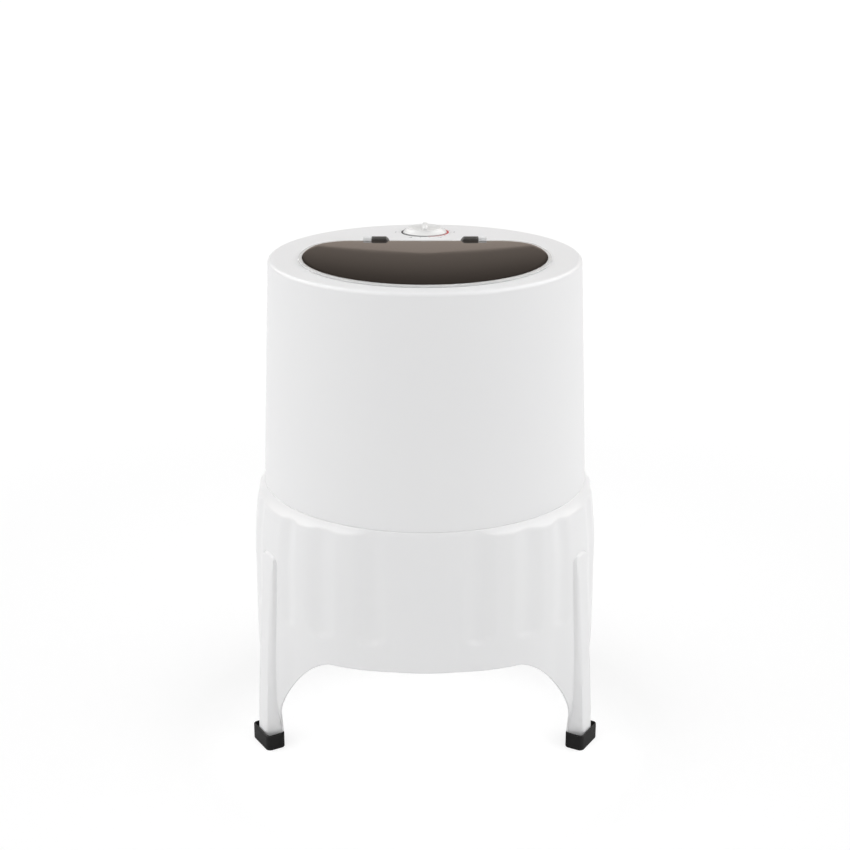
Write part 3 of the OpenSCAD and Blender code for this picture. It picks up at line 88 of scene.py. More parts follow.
# Gives an input a plain value, or links it to another node's output
def feed(tree, socket, value):
    if isinstance(value, bpy.types.NodeSocket):
        tree.links.new(value, socket)
    else:
        socket.default_value = value


def mathNode(tree, operation, *values):
    node = addNode(tree, "ShaderNodeMath", operation=operation)
    for index, value in enumerate(values):
        feed(tree, node.inputs[index], value)
    return node.outputs[0]


def mixNode(tree, kind, factor, first, second):
    node = addNode(tree, "ShaderNodeMix", data_type=kind)
    places, result = ((0, 6, 7), 2) if kind == "RGBA" else ((0, 2, 3), 0)
    for place, value in zip(places, (factor, first, second)):
        feed(tree, node.inputs[place], value)
    return node.outputs[result]


def rampNode(tree, value, source, target):
    node = addNode(tree, "ShaderNodeMapRange", interpolation_type="SMOOTHSTEP")
    setInputs(node, {"From Min": source[0], "From Max": source[1], "To Min": target[0], "To Max": target[1]})
    tree.links.new(value, node.inputs["Value"])
    return node.outputs["Result"]


def srgb(red, green, blue):
    def linear(value):
        value = value / 255
        return value / 12.92 if value <= 0.04045 else ((value + 0.055) / 1.055) ** 2.4
    return (linear(red), linear(green), linear(blue), 1)


# Studio: a pale floor under a white sky, whose light comes mostly from both sides and above.
# Heights in the sky are in degrees, and spans on the floor in metres.
studio = {
    "skyBase": 0.36, "skySides": 1.22, "skyTop": 0.87, "skySeen": 1.0,
    "screen": 0.62, "screenTop": 12.35, "screenArch": 0.06, "edgeSoft": 0.3,
    "aboveScreen": 0.25, "fadeTo": 0.05, "fadeHeight": 3.5, "warm": (1.0, 0.86, 0.76, 1), "warmSpan": (20.0, 30.0),
    "roof": 0.9, "roofSpan": (35.0, 70.0), "panels": 5.5, "panelSides": (0.32, 0.56), "panelSpan": (14.0, 26.0),
    "floorSize": 90, "floorTone": 0.86, "floorShade": 0.42, "farTones": (0.98, 1.04), "farSpan": (0.5, 3.2),
    # glow and lift: painted light on the floor under and round the machine, stronger nearer it, which hides most of
    # the shadow the machine casts
    "paintedGlow": 0.27, "paintedGlowSpan": (0.14, 0.42), "paintedGlowForward": 0.1, "lift": 0.05, "paintedLiftSpan": (0.35, 1.4),
}


def addWorld():
    world = bpy.data.worlds.new("studioSky")
    bpy.context.scene.world = world
    world.use_nodes = True
    tree = world.node_tree
    tree.nodes.clear()
    link = tree.links.new
    output = addNode(tree, "ShaderNodeOutputWorld")
    background = addNode(tree, "ShaderNodeBackground")
    coords = addNode(tree, "ShaderNodeTexCoord")
    split = addNode(tree, "ShaderNodeSeparateXYZ")
    path = addNode(tree, "ShaderNodeLightPath")
    glossy = path.outputs["Is Glossy Ray"]
    link(coords.outputs["Generated"], split.inputs[0])
    x, z = split.outputs["X"], split.outputs["Z"]

    def calc(operation, *values):
        return mathNode(tree, operation, *values)

    sides = calc("MULTIPLY", calc("MULTIPLY", x, x), studio["skySides"])
    above = calc("MULTIPLY", calc("MULTIPLY", z, z), studio["skyTop"])
    soft = calc("ADD", calc("ADD", sides, above), studio["skyBase"])

    # Glossy rays see a warm screen with an arched top edge, a dark room above it, a brighter roof, and
    # bright panels high at both sides
    height = calc("MULTIPLY", calc("ARCSINE", z), math.degrees(1))
    turn = calc("MULTIPLY", calc("ARCSINE", x), math.degrees(1))
    arch = calc("MULTIPLY", calc("MULTIPLY", turn, turn), studio["screenArch"])
    over = calc("SUBTRACT", calc("ADD", height, arch), studio["screenTop"])
    dark = rampNode(tree, over, (0.0, studio["fadeHeight"]), (studio["aboveScreen"], studio["fadeTo"]))
    edge = rampNode(tree, over, (-studio["edgeSoft"], studio["edgeSoft"]), (1.0, 0.0))
    screen = calc("MULTIPLY", edge, studio["screen"] - studio["aboveScreen"])
    roof = rampNode(tree, height, studio["roofSpan"], (0.0, studio["roof"]))
    aside = rampNode(tree, calc("ABSOLUTE", x), studio["panelSides"], (0.0, studio["panels"]))
    panels = calc("MULTIPLY", aside, rampNode(tree, height, studio["panelSpan"], (0.0, 1.0)))
    mirror = calc("ADD", calc("ADD", dark, screen), calc("ADD", roof, panels))
    light = mixNode(tree, "FLOAT", glossy, soft, mirror)
    link(mixNode(tree, "FLOAT", path.outputs["Is Camera Ray"], light, studio["skySeen"]),
         background.inputs["Strength"])
    warmth = calc("MULTIPLY", rampNode(tree, height, studio["warmSpan"], (1.0, 0.0)), glossy)
    link(mixNode(tree, "RGBA", warmth, (1, 1, 1, 1), studio["warm"]), background.inputs["Color"])
    link(background.outputs[0], output.inputs[0])


# The camera sees a floor that fades to white: its real shading, plus painted light under and round the machine that
# hides most of the machine's shadow. Light bounces off a plain pale one
def addFloor():
    half = studio["floorSize"] / 2
    mesh = bpy.data.meshes.new("studioFloor")
    mesh.from_pydata([(-half, -half, 0), (half, -half, 0), (half, half, 0), (-half, half, 0)], [], [(0, 1, 2, 3)])
    floor = bpy.data.objects.new("studioFloor", mesh)
    bpy.context.collection.objects.link(floor)
    material = bpy.data.materials.new("studioFloor")
    material.use_nodes = True
    tree = material.node_tree
    tree.nodes.clear()
    link = tree.links.new
    output = addNode(tree, "ShaderNodeOutputMaterial")
    path = addNode(tree, "ShaderNodeLightPath")
    pick = addNode(tree, "ShaderNodeMixShader")
    bounce = addNode(tree, "ShaderNodeBsdfDiffuse")
    seen = addNode(tree, "ShaderNodeBsdfDiffuse")
    paintedGlow = addNode(tree, "ShaderNodeEmission")
    both = addNode(tree, "ShaderNodeAddShader")
    coords = addNode(tree, "ShaderNodeTexCoord")
    tone, shade = studio["floorTone"], studio["floorShade"]
    bounce.inputs["Color"].default_value = (tone, tone, tone, 1)
    seen.inputs["Color"].default_value = (shade, shade, shade, 1)

    def reachFrom(centre):
        distance = addNode(tree, "ShaderNodeVectorMath", operation="DISTANCE")
        distance.inputs[1].default_value = centre
        link(coords.outputs["Object"], distance.inputs[0])
        return distance.outputs["Value"]

    reach = reachFrom((0, 0, 0))
    under = reachFrom((0, axisY - studio["paintedGlowForward"], 0))
    lit = shade * (studio["skyBase"] + studio["skySides"] / 4 + studio["skyTop"] / 2)
    # Painted light: the floor's emission rises towards and under the machine, in place of the shade the machine casts
    # on it
    near = rampNode(tree, under, studio["paintedGlowSpan"], (studio["paintedGlow"], 0.0))
    lift = rampNode(tree, reach, studio["paintedLiftSpan"], (studio["lift"], 0.0))
    far = rampNode(tree, reach, studio["farSpan"], [value - lit for value in studio["farTones"]])
    link(mathNode(tree, "ADD", mathNode(tree, "ADD", near, lift), far), paintedGlow.inputs["Strength"])
    link(seen.outputs[0], both.inputs[0])
    link(paintedGlow.outputs[0], both.inputs[1])
    link(path.outputs["Is Camera Ray"], pick.inputs[0])
    link(bounce.outputs[0], pick.inputs[1])
    link(both.outputs[0], pick.inputs[2])
    link(pick.outputs[0], output.inputs[0])
    mesh.materials.append(material)


# Shader groups shared by the materials: two tones and two roughnesses in soft clouds, with a fine grain
surfaceInputs = [
    ("Base Color", "NodeSocketColor", (0.8, 0.8, 0.8, 1)), ("Second Color", "NodeSocketColor", (0.75, 0.75, 0.75, 1)),
    ("Roughness Low", "NodeSocketFloat", 0.25), ("Roughness High", "NodeSocketFloat", 0.4),
    ("Grain Scale", "NodeSocketFloat", 900.0), ("Grain Depth", "NodeSocketFloat", 0.00002),
]
surfaceOutputs = [("Color", "NodeSocketColor"), ("Roughness", "NodeSocketFloat"), ("Normal", "NodeSocketVector")]


def surfaceGroup(name, cloudScale, stretch):
    tree = bpy.data.node_groups.new(name, "ShaderNodeTree")
    for label, kind, value in surfaceInputs:
        tree.interface.new_socket(label, in_out="INPUT", socket_type=kind).default_value = value
    for label, kind in surfaceOutputs:
        tree.interface.new_socket(label, in_out="OUTPUT", socket_type=kind)
    link = tree.links.new
    inside = addNode(tree, "NodeGroupInput").outputs
    outside = addNode(tree, "NodeGroupOutput").inputs
    coords = addNode(tree, "ShaderNodeTexCoord")
    mapping = addNode(tree, "ShaderNodeMapping")
    cloud = addNode(tree, "ShaderNodeTexNoise")
    grain = addNode(tree, "ShaderNodeTexNoise")
    bump = addNode(tree, "ShaderNodeBump")
    mapping.inputs["Scale"].default_value = stretch
    setInputs(cloud, {"Scale": cloudScale, "Detail": 3.0})
    setInputs(grain, {"Detail": 2.0, "Roughness": 0.6})
    link(coords.outputs["Object"], mapping.inputs["Vector"])
    for noise in (cloud, grain):
        link(mapping.outputs[0], noise.inputs["Vector"])
    link(inside["Grain Scale"], grain.inputs["Scale"])
    link(grain.outputs[0], bump.inputs["Height"])
    link(inside["Grain Depth"], bump.inputs["Distance"])
    share = cloud.outputs[0]
    link(mixNode(tree, "RGBA", share, inside["Base Color"], inside["Second Color"]), outside["Color"])
    link(mixNode(tree, "FLOAT", share, inside["Roughness Low"], inside["Roughness High"]), outside["Roughness"])
    link(bump.outputs[0], outside["Normal"])
    return tree


skins = {
    "moulded": surfaceGroup("mouldedSkin", 5.0, (1, 1, 1)),
    "brushed": surfaceGroup("brushedSkin", 40.0, (1, 1, 9)),
    "cast": surfaceGroup("castSkin", 60.0, (1, 1, 1)),
}


# A material from its skin, two tones, roughness range, grain scale and depth, and constants of the shader
def makeMaterial(name, skin, tones, rough, grain, constants):
    material = bpy.data.materials.new(name)
    material.use_nodes = True
    tree = material.node_tree
    tree.nodes.clear()
    output = addNode(tree, "ShaderNodeOutputMaterial")
    principled = addNode(tree, "ShaderNodeBsdfPrincipled")
    surface = addNode(tree, "ShaderNodeGroup", node_tree=skins[skin])
    setInputs(surface, {"Base Color": tones[0], "Second Color": tones[1], "Roughness Low": rough[0],
                        "Roughness High": rough[1], "Grain Scale": grain[0], "Grain Depth": grain[1]})
    setInputs(principled, constants)
    tree.links.new(surface.outputs["Color"], principled.inputs["Base Color"])
    tree.links.new(surface.outputs["Roughness"], principled.inputs["Roughness"])
    tree.links.new(surface.outputs["Normal"], principled.inputs["Normal"])
    tree.links.new(principled.outputs[0], output.inputs[0])
    return material


plastic = {"IOR": 1.5}
metal = {"Metallic": 1.0}
finishes = {
    "shellWhite": ("moulded", (srgb(233, 233, 233), srgb(230, 230, 231)), (0.34, 0.42), (700.0, 0.000012),
                   {"IOR": 1.5, "Specular IOR Level": 0.25}),
    "tubGrey": ("moulded", (srgb(224, 225, 227), srgb(217, 218, 221)), (0.25, 0.4), (500.0, 0.00002), plastic),
    "clearRim": ("moulded", (srgb(246, 246, 246), srgb(243, 244, 244)), (0.16, 0.24), (300.0, 0.00001),
                 {"IOR": 1.49, "Transmission Weight": 0.3, "Specular IOR Level": 0.35}),
    "smokedWindow": ("moulded", (srgb(66, 59, 54), srgb(62, 55, 50)), (0.02, 0.035), (60.0, 0.00001),
                     {"IOR": 1.5, "Transmission Weight": 0.5, "Specular Tint": (1.0, 0.86, 0.76, 1)}),
    "hingeGrey": ("moulded", (srgb(62, 59, 56), srgb(50, 48, 46)), (0.4, 0.52), (1600.0, 0.00005), plastic),
    "footRubber": ("moulded", (srgb(17, 17, 18), srgb(25, 25, 25)), (0.55, 0.75), (1300.0, 0.00012),
                   {"IOR": 1.5, "Specular IOR Level": 0.25}),
    "knobWhite": ("moulded", (srgb(228, 228, 227), srgb(223, 223, 222)), (0.3, 0.38), (500.0, 0.00001),
                  {"IOR": 1.5, "Specular IOR Level": 0.3}),
    "zincSteel": ("brushed", ((0.62, 0.63, 0.65, 1), (0.5, 0.51, 0.53, 1)), (0.25, 0.42), (600.0, 0.00003), metal),
    "castAlloy": ("cast", ((0.55, 0.56, 0.57, 1), (0.42, 0.43, 0.44, 1)), (0.45, 0.62), (420.0, 0.0002),
                  {"Metallic": 0.9}),
    "sinterBronze": ("cast", ((0.5, 0.36, 0.19, 1), (0.38, 0.27, 0.15, 1)), (0.4, 0.55), (900.0, 0.00008), metal),
    "windingCopper": ("brushed", ((0.6, 0.24, 0.09, 1), (0.42, 0.14, 0.05, 1)), (0.25, 0.4), (700.0, 0.0002), metal),
    "creamPlastic": ("moulded", (srgb(226, 221, 206), srgb(216, 210, 192)), (0.38, 0.5), (900.0, 0.00004), plastic),
    "printInk": ("moulded", (srgb(40, 40, 42), srgb(52, 52, 54)), (0.4, 0.5), (900.0, 0.00001), plastic),
    "printRed": ("moulded", (srgb(196, 60, 62), srgb(186, 52, 56)), (0.4, 0.5), (900.0, 0.00001), plastic),
}
slotFinishes = {
    "shell_white": "shellWhite", "tub_grey": "tubGrey", "clear_pale": "clearRim", "window_tint": "smokedWindow",
    "dark_plastic": "hingeGrey", "rubber_black": "footRubber", "steel": "zincSteel", "cast_alloy": "castAlloy",
    "bronze": "sinterBronze", "copper": "windingCopper", "cream_plastic": "creamPlastic",
}
materials = {name: makeMaterial(name, *finish) for name, finish in finishes.items()}
print("materials built:", len(materials))


# Mesh helpers
def addPiece(name, mesh, material):
    piece = bpy.data.objects.new(name, mesh)
    bpy.context.collection.objects.link(piece)
    mesh.materials.clear()
    mesh.materials.append(materials[material])
    return piece


def sharpen(mesh, degrees):
    mesh.shade_smooth()
    mesh.set_sharp_from_angle(angle=math.radians(degrees))


def turnOutward(mesh, merge=0.0):
    work = bmesh.new()
    work.from_mesh(mesh)
    if merge:
        bmesh.ops.remove_doubles(work, verts=work.verts, dist=merge)
    bmesh.ops.recalc_face_normals(work, faces=work.faces)
    work.to_mesh(mesh)
    work.free()


# A mesh from rings of points; each ring is closed, and the last ring may join the first
def ringMesh(name, rings, joinEnds=True, capEnds=False):
    rings = np.asarray(rings, dtype=float)
    count, size = rings.shape[:2]
    base = np.arange(size)
    after = (base + 1) % size
    faces = []
    for i in range(count if joinEnds else count - 1):
        low = i * size
        high = ((i + 1) % count) * size
        faces.append(np.stack([low + base, low + after, high + after, high + base], axis=1))
    quads = np.concatenate(faces).tolist()
    if capEnds:
        quads.append(list(base[::-1]))
        quads.append(list((count - 1) * size + base))
    mesh = bpy.data.meshes.new(name)
    mesh.from_pydata(rings.reshape(-1, 3).tolist(), [], quads)
    turnOutward(mesh, merge=1e-6)
    return mesh


def circle(radius, z, centre, turns):
    return [(centre[0] + radius * math.cos(t), centre[1] + radius * math.sin(t), z) for t in turns]


def arcPoints(centreX, centreZ, radius, start, end, steps):
    angles = np.radians(np.linspace(start, end, steps + 1))
    return [(centreX + radius * math.cos(a), centreZ + radius * math.sin(a)) for a in angles]


def centreOf(node):
    low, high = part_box(node)
    return (low[0] + high[0]) / 2, (low[1] + high[1]) / 2


def clamp(t):
    return min(max(t, 0.0), 1.0)


def smoothStep(t):
    t = clamp(t)
    return t * t * (3 - 2 * t)


# Merged copy of a CAD node with smooth shading; angles in degrees
dress = {"merge": 2e-6, "flat": 0.6, "sharp": 32}


def dressNode(node, material):
    mesh = frame["nodes"][node].data.copy()
    work = bmesh.new()
    work.from_mesh(mesh)
    bmesh.ops.remove_doubles(work, verts=work.verts, dist=dress["merge"])
    bmesh.ops.dissolve_limit(work, angle_limit=math.radians(dress["flat"]), verts=work.verts, edges=work.edges)
    work.to_mesh(mesh)
    work.free()
    piece = addPiece("fine_" + node, mesh, material)
    sharpen(mesh, dress["sharp"])
    return piece


# Skirt: three panels, each with three flutes a side, and three ribbed legs. Angles run from the middle of a
# panel, at 0 degrees, to the middle of a leg, at 60.
skirt = {
    "rim": 0.2767, "spigotOut": 0.27188, "spigotTop": 0.27107, "spigotIn": 0.26807, "spigotHeight": 0.02,
    "panel": 0.280, "legWall": 0.2985, "panelHalf": 11.0, "legFrom": 55.0, "wall": 0.003, "lip": 0.0006,
    "collarFlat": 0.001, "collarRound": 0.0008, "shoulderStart": (0.0002, 0.0015), "shoulderShare": 0.62,
    "shoulderSlope": 0.7, "shoulderDrop": 0.006, "shoulderRound": 0.0035, "shoulderEnd": 0.0045, "bulge": 0.110,
    "fluteCentres": (17.6, 35.2, 49.4), "fluteHalves": (6.6, 6.6, 5.0), "fluteDepth": 0.006,
    "fluteShares": (0.9, 0.62, 0.5), "fullFrom": 0.36, "fullOver": 0.06,
    "fluteLow": 0.236, "fluteArch": 0.020, "fluteFade": 0.014,
    "lowEdge": 0.194, "archStart": 32.0, "archEnd": 54.9, "archPower": 0.75, "archFoot": 0.003, "footTop": 0.028,
    "legFlare": 0.008, "flareFrom": 46.0, "flareOver": 9.4, "flareDrop": 0.230, "flareLow": 0.008, "flareRise": 0.070,
    "legTip": 0.351, "legStep": 0.0033, "stepOver": 0.006, "legSplay": 0.0636, "sole": 0.004,
    "ribFoot": 4.75, "ribTip": 4.3, "ribRound": 0.012, "ribLeast": 0.5, "ribRadius": 0.31,
    "flank": 0.0035, "flankShare": 0.42, "flankShift": 0.15,
    "ribGroove": 0.0018, "grooveHalf": 0.0022, "grooveOver": 0.012,
}
skirtGrid = {
    "outer": [*np.linspace(0.422, 0.356, 11), *np.linspace(0.352, 0.336, 12), *np.linspace(0.326, 0.27, 8),
              *np.linspace(0.262, 0.234, 12)],
    "clear": 0.007, "first": 0.005, "gap": 0.0002, "roundShares": np.linspace(0, 1, 8),
    "band": 0.228, "bandShares": np.linspace(0, 1, 16), "innerShares": (0.75, 0.5, 0.25, 0),
    "inner": np.linspace(0.232, 0.400, 14), "soleRise": 0.0005, "innerGap": 0.0005,
    "even": 84, "flankSteps": (-0.5, -0.36, -0.22, -0.1, 0.02, 0.14, 0.28, 0.42, 0.6),
    "ribShares": (0.25, 0.5, 0.75, 1.0), "flankLeast": 0.8, "flankGap": 0.02,
}


def skirtEnvelope(angle):
    share = clamp((angle - skirt["panelHalf"]) / (skirt["legFrom"] - skirt["panelHalf"]))
    return skirt["panel"] + (skirt["legWall"] - skirt["panel"]) * math.sin(share * math.pi / 2)


def skirtFlutes(angle, z):
    depth = 0.0
    nearTop = smoothStep((z - skirt["fullFrom"]) / skirt["fullOver"])
    for centre, half, share in zip(skirt["fluteCentres"], skirt["fluteHalves"], skirt["fluteShares"]):
        u = clamp(abs(angle - centre) / half)
        bottom = skirt["fluteLow"] + skirt["fluteArch"] * (1 - math.sqrt(1 - u * u))
        cut = skirt["fluteDepth"] * (share + (1 - share) * nearTop)
        depth += cut * math.cos(u * math.pi / 2) ** 2 * smoothStep((z - bottom) / skirt["fluteFade"])
    return depth


def shoulderRadius(angle):
    rim = skirt["rim"]
    return rim + skirt["shoulderShare"] * (skirtEnvelope(angle) - skirtFlutes(angle, collarZ) - rim)


def shoulderHeight(angle):
    return collarZ - skirt["shoulderDrop"] - skirt["shoulderSlope"] * (shoulderRadius(angle) - skirt["rim"])


def skirtBase(angle, z):
    t = clamp((shoulderHeight(angle) - z) / skirt["bulge"])
    low = skirtEnvelope(angle) - skirtFlutes(angle, z)
    return shoulderRadius(angle) + (low - shoulderRadius(angle)) * (1 - (1 - t) ** 2)


def skirtWall(angle, z):
    swell = smoothStep((angle - skirt["flareFrom"]) / skirt["flareOver"])
    swell *= smoothStep((skirt["legTip"] - z) / skirt["flareDrop"])
    swell *= smoothStep((z - skirt["footTop"] + skirt["flareLow"]) / skirt["flareRise"])
    return skirtBase(angle, z) + skirt["legFlare"] * swell


def ribHalf(z):
    tip, foot, rounding = skirt["legTip"], skirt["footTop"], skirt["ribRound"]
    taper = skirt["ribFoot"] + (skirt["ribTip"] - skirt["ribFoot"]) * clamp((z - foot) / (tip - foot))
    u = clamp((z - (tip - rounding)) / rounding)
    return max(skirt["ribLeast"], taper * math.sqrt(1 - u * u))


def ribStep(z):
    down = skirt["legTip"] - z
    return 0.0 if down <= 0 else skirt["legStep"] * smoothStep(down / skirt["stepOver"]) + skirt["legSplay"] * down


def archHeight(angle):
    u = clamp((angle - skirt["archStart"]) / (skirt["archEnd"] - skirt["archStart"]))
    drop = skirt["lowEdge"] - skirt["footTop"] - skirt["archFoot"]
    return skirt["lowEdge"] - drop * (1 - math.sqrt(1 - u * u)) ** skirt["archPower"]


# Outer radius, with the rib's flank rounded over a few millimetres and a groove along its foot
def skirtOuter(angle, z):
    wall = skirtWall(angle, z)
    across = (ribHalf(z) - abs(angle - 60)) * math.radians(1) * skirt["ribRadius"]
    if z >= skirt["legTip"]:
        return wall
    groove = skirt["ribGroove"] * math.exp(-(across / skirt["grooveHalf"]) ** 2)
    groove *= smoothStep((skirt["legTip"] - z) / skirt["grooveOver"])
    rise = smoothStep(across / (skirt["flank"] + skirt["flankShare"] * ribStep(z)) + skirt["flankShift"])
    face = (skirtBase(60.0, z) + ribStep(z)) / math.cos(math.radians(angle - 60))
    return wall - groove + (face - wall) * rise


# Angles of half a panel's columns at one height: even ones, some that follow the rib's flank, and the rib's own
def columnAngles(z):
    flank = 60 - max(skirtGrid["flankLeast"], ribHalf(z))
    face = flank + skirtGrid["flankSteps"][-1]
    return [*np.linspace(0, skirt["archEnd"], skirtGrid["even"]),
            *[max(flank + step, skirt["archEnd"] + skirtGrid["flankGap"] * (k + 1))
              for k, step in enumerate(skirtGrid["flankSteps"])],
            *[face + (60 - face) * share for share in skirtGrid["ribShares"]]]


# Closed loop of (radius, angle, height) up the outer face of one column and down its inner face
def skirtColumn(index):
    rim, wall, lip, band = skirt["rim"], skirt["wall"], skirt["lip"], skirtGrid["band"]
    arched = index < skirtGrid["even"]
    top = columnAngles(collarZ)[index]
    low = archHeight(top) if arched else skirt["sole"]
    shoulderR, shoulderZ = shoulderRadius(top), shoulderHeight(top)
    spigotZ = collarZ + skirt["spigotHeight"]
    loop = [(skirt["spigotIn"], top, spigotZ), (skirt["spigotTop"], top, spigotZ), (skirt["spigotOut"], top, collarZ),
            (rim - skirt["collarFlat"], top, collarZ), (rim, top, collarZ - skirt["collarRound"])]

    # The shoulder is a straight slope with a small round at its lower edge
    startR, startZ = rim + skirt["shoulderStart"][0], collarZ - skirt["shoulderStart"][1]
    loop.append((startR, top, startZ))
    slopeR, slopeZ = shoulderR - startR, shoulderZ - startZ
    near = max(0.0, 1 - skirt["shoulderRound"] / math.hypot(slopeR, slopeZ))
    turnR, turnZ = startR + slopeR * near, startZ + slopeZ * near
    endZ = shoulderZ - skirt["shoulderEnd"]
    endR = skirtOuter(top, endZ)
    for t in skirtGrid["roundShares"]:
        a, b, c = (1 - t) ** 2, 2 * t * (1 - t), t * t
        loop.append((a * turnR + b * shoulderR + c * endR, top, a * turnZ + b * shoulderZ + c * endZ))

    # Levels that the shoulder covers are squeezed in just below it, so that each column has as many points
    levels = [z for z in skirtGrid["outer"] if z < shoulderZ - skirtGrid["clear"]]
    covered = len(skirtGrid["outer"]) - len(levels)
    levels = [shoulderZ - skirtGrid["first"] - skirtGrid["gap"] * k for k in range(covered)] + levels
    levels += [band + (low - band) * share for share in skirtGrid["bandShares"]]
    for z in levels:
        angle = columnAngles(z)[index]
        loop.append((skirtOuter(angle, z), angle, z))

    # The wall's lower edge is rounded; the leg's is solid
    angle = columnAngles(low)[index]
    outer = skirtOuter(angle, low)
    if arched:
        loop += [(outer - lip, angle, low - lip), (outer - wall + lip, angle, low - lip), (outer - wall, angle, low)]
    else:
        solid = (skirt["legWall"] - wall) / math.cos(math.radians(60 - angle))
        loop += [(outer - lip, angle, low), (solid, angle, low), (solid, angle, low + skirtGrid["soleRise"])]
    for z in [*[band + (low - band) * share for share in skirtGrid["innerShares"]], *skirtGrid["inner"]]:
        angle = columnAngles(z)[index]
        loop.append((skirtOuter(angle, z) - wall, angle, z))
    loop += [(shoulderR - wall - skirtGrid["innerGap"], top, shoulderZ - skirtGrid["first"]),
             (skirt["spigotIn"], top, collarZ - skirtGrid["first"])]
    return loop


def buildSkirt():
    last = len(columnAngles(collarZ)) - 1
    columns = [skirtColumn(index) for index in range(last + 1)]
    rings = []
    for panel in range(3):
        for side, order in ((-1, range(last, 0, -1)), (1, range(last))):
            for index in order:
                ring = []
                for radius, angle, z in columns[index]:
                    turn = math.radians(panel * 120 + side * angle - 90)
                    ring.append((radius * math.cos(turn), axisY + radius * math.sin(turn), z))
                rings.append(ring)
    mesh = ringMesh("skirtShell", rings)
    sharpen(mesh, 50)
    piece = addPiece("skirtShell", mesh, "shellWhite")
    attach(piece, "machine")
    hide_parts("base_skirt")
    print("skirt built:", len(mesh.polygons), "faces")


# Outline round the drum's axis: a circle whose rear is cut off by a straight chord, with rounded corners
def dRadius(radius, chord, corner, t):
    cx = math.sqrt((radius - corner) ** 2 - (chord - corner) ** 2)
    cy = chord - corner
    t = abs(((t + math.pi / 2) % (2 * math.pi)) - math.pi)  # 0 at the rear, pi at the front
    up = math.pi / 2 - t
    roundT, flatT = math.atan2(cy, cx), math.atan2(chord, cx)
    if up >= flatT:
        return chord / math.sin(up)
    if up <= roundT:
        return radius
    b = cx * math.cos(up) + cy * math.sin(up)
    return b + math.sqrt(b * b - cx * cx - cy * cy + corner * corner)


def evenTurns(count):
    return [2 * math.pi * (k + 0.5) / count for k in range(count)]


def dOutline(radius, chord, corner, z, count):
    ring = []
    for t in evenTurns(count):
        r = dRadius(radius, chord, corner, t)
        ring.append((r * math.cos(t), drumY + r * math.sin(t), z))
    return ring


# Casing: tapered wall, rounded deck edge, flat deck with a D-shaped opening and a splash lip
casing = {
    "topRadius": 0.260, "lowRadius": 0.2755, "edge": 0.007, "wall": 0.0032, "deck": 0.004,
    "turnIn": 0.0006, "turnHeight": 0.012, "foot": 0.0004, "footRound": 0.0002,
    "openingRadius": 0.200, "openingChord": 0.113, "openingCorner": 0.066, "mouthRound": 0.0012,
    "lip": 0.008, "lipWall": 0.0026, "lipRound": 0.0006, "innerRound": 0.006, "columns": 480,
    "footRings": 9, "wallRings": 20, "edgeSteps": 12, "mouthSteps": 4, "innerRings": 10,
    "footGap": 0.01, "edgeGap": 0.002, "deckGap": 0.0005, "innerGap": 0.02, "deckShares": (0, 0.33, 0.66, 1),
}


def buildCasing():
    slope = (casing["lowRadius"] - casing["topRadius"]) / (deckZ - collarZ)
    tilt = math.atan(slope)
    turns = evenTurns(casing["columns"])
    edge, turnHeight = casing["edge"], casing["turnHeight"]

    def ring(radius, z):
        return circle(radius, z, (0, axisY), turns)

    def mouth(extra, z):
        sizes = [casing[key] + extra for key in ("openingRadius", "openingChord", "openingCorner")]
        return dOutline(*sizes, z, casing["columns"])

    def blendRings(a, b, share):
        return [tuple(p + (q - p) * share for p, q in zip(m, n)) for m, n in zip(a, b)]

    def coneRadius(z):
        return casing["topRadius"] + (deckZ - z) * slope

    # The wall's lower edge turns in a little
    def wallRadius(z):
        drop = max(0.0, 1 - (z - collarZ) / turnHeight)
        return coneRadius(z) - casing["turnIn"] * drop * drop

    lowest = collarZ + casing["foot"]
    rings = [ring(wallRadius(lowest) - casing["footRound"], collarZ + casing["footRound"])]
    wallLow, wallHigh = collarZ + turnHeight + casing["footGap"], deckZ - edge - casing["edgeGap"]
    rings += [ring(wallRadius(z), z) for z in np.linspace(lowest, collarZ + turnHeight, casing["footRings"])]
    rings += [ring(wallRadius(z), z) for z in np.linspace(wallLow, wallHigh, casing["wallRings"])]
    edgeR = coneRadius(deckZ - edge) - edge / math.cos(tilt)
    rings += [ring(r, z) for r, z in arcPoints(edgeR, deckZ - edge, edge, math.degrees(tilt), 90, casing["edgeSteps"])]

    # Deck, and the mouth with its splash lip
    turn, lipRound, lipWall = casing["mouthRound"], casing["lipRound"], casing["lipWall"]
    outer, inner = ring(edgeR - casing["deckGap"], deckZ), mouth(turn, deckZ)
    rings += [blendRings(outer, inner, share) for share in casing["deckShares"]]
    rings += [mouth(x, z) for x, z in arcPoints(turn, deckZ - turn, turn, 90, 180, casing["mouthSteps"])[1:]]
    under = deckZ - casing["deck"]
    low = under - casing["lip"]
    rings += [mouth(0, low + lipRound), mouth(lipRound, low), mouth(lipWall - lipRound, low),
              mouth(lipWall, low + lipRound), mouth(lipWall, under)]

    # Inner face, down to the collar
    def innerRadius(z):
        return coneRadius(z) - casing["wall"] / math.cos(tilt)

    innerRound = casing["innerRound"]
    innerRim = ring(innerRadius(under) - innerRound, under)
    rings += [blendRings(rings[-1], innerRim, share) for share in (0.5, 1)]
    rings += [ring(innerRadius(under - innerRound), under - innerRound)]
    rings += [ring(innerRadius(z), z) for z in np.linspace(under - casing["innerGap"], collarZ, casing["innerRings"])]
    mesh = ringMesh("casingShell", rings)
    sharpen(mesh, 40)
    piece = addPiece("casingShell", mesh, "shellWhite")
    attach(piece, "machine")
    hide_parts("tub_casing")
    print("casing built")


# Lid window: a shallow pillow of smoked plastic, whose thin edge laps over the rim as far as the hinges
window = {
    "pane": (0.201, 0.108, 0.0657), "lap": (0.2022, 0.1152, 0.066), "lapThick": 0.0006,
    "thick": 0.0025, "crown": 0.0015, "power": 2.2, "columns": 240, "shares": np.linspace(0.02, 0.985, 40),
}


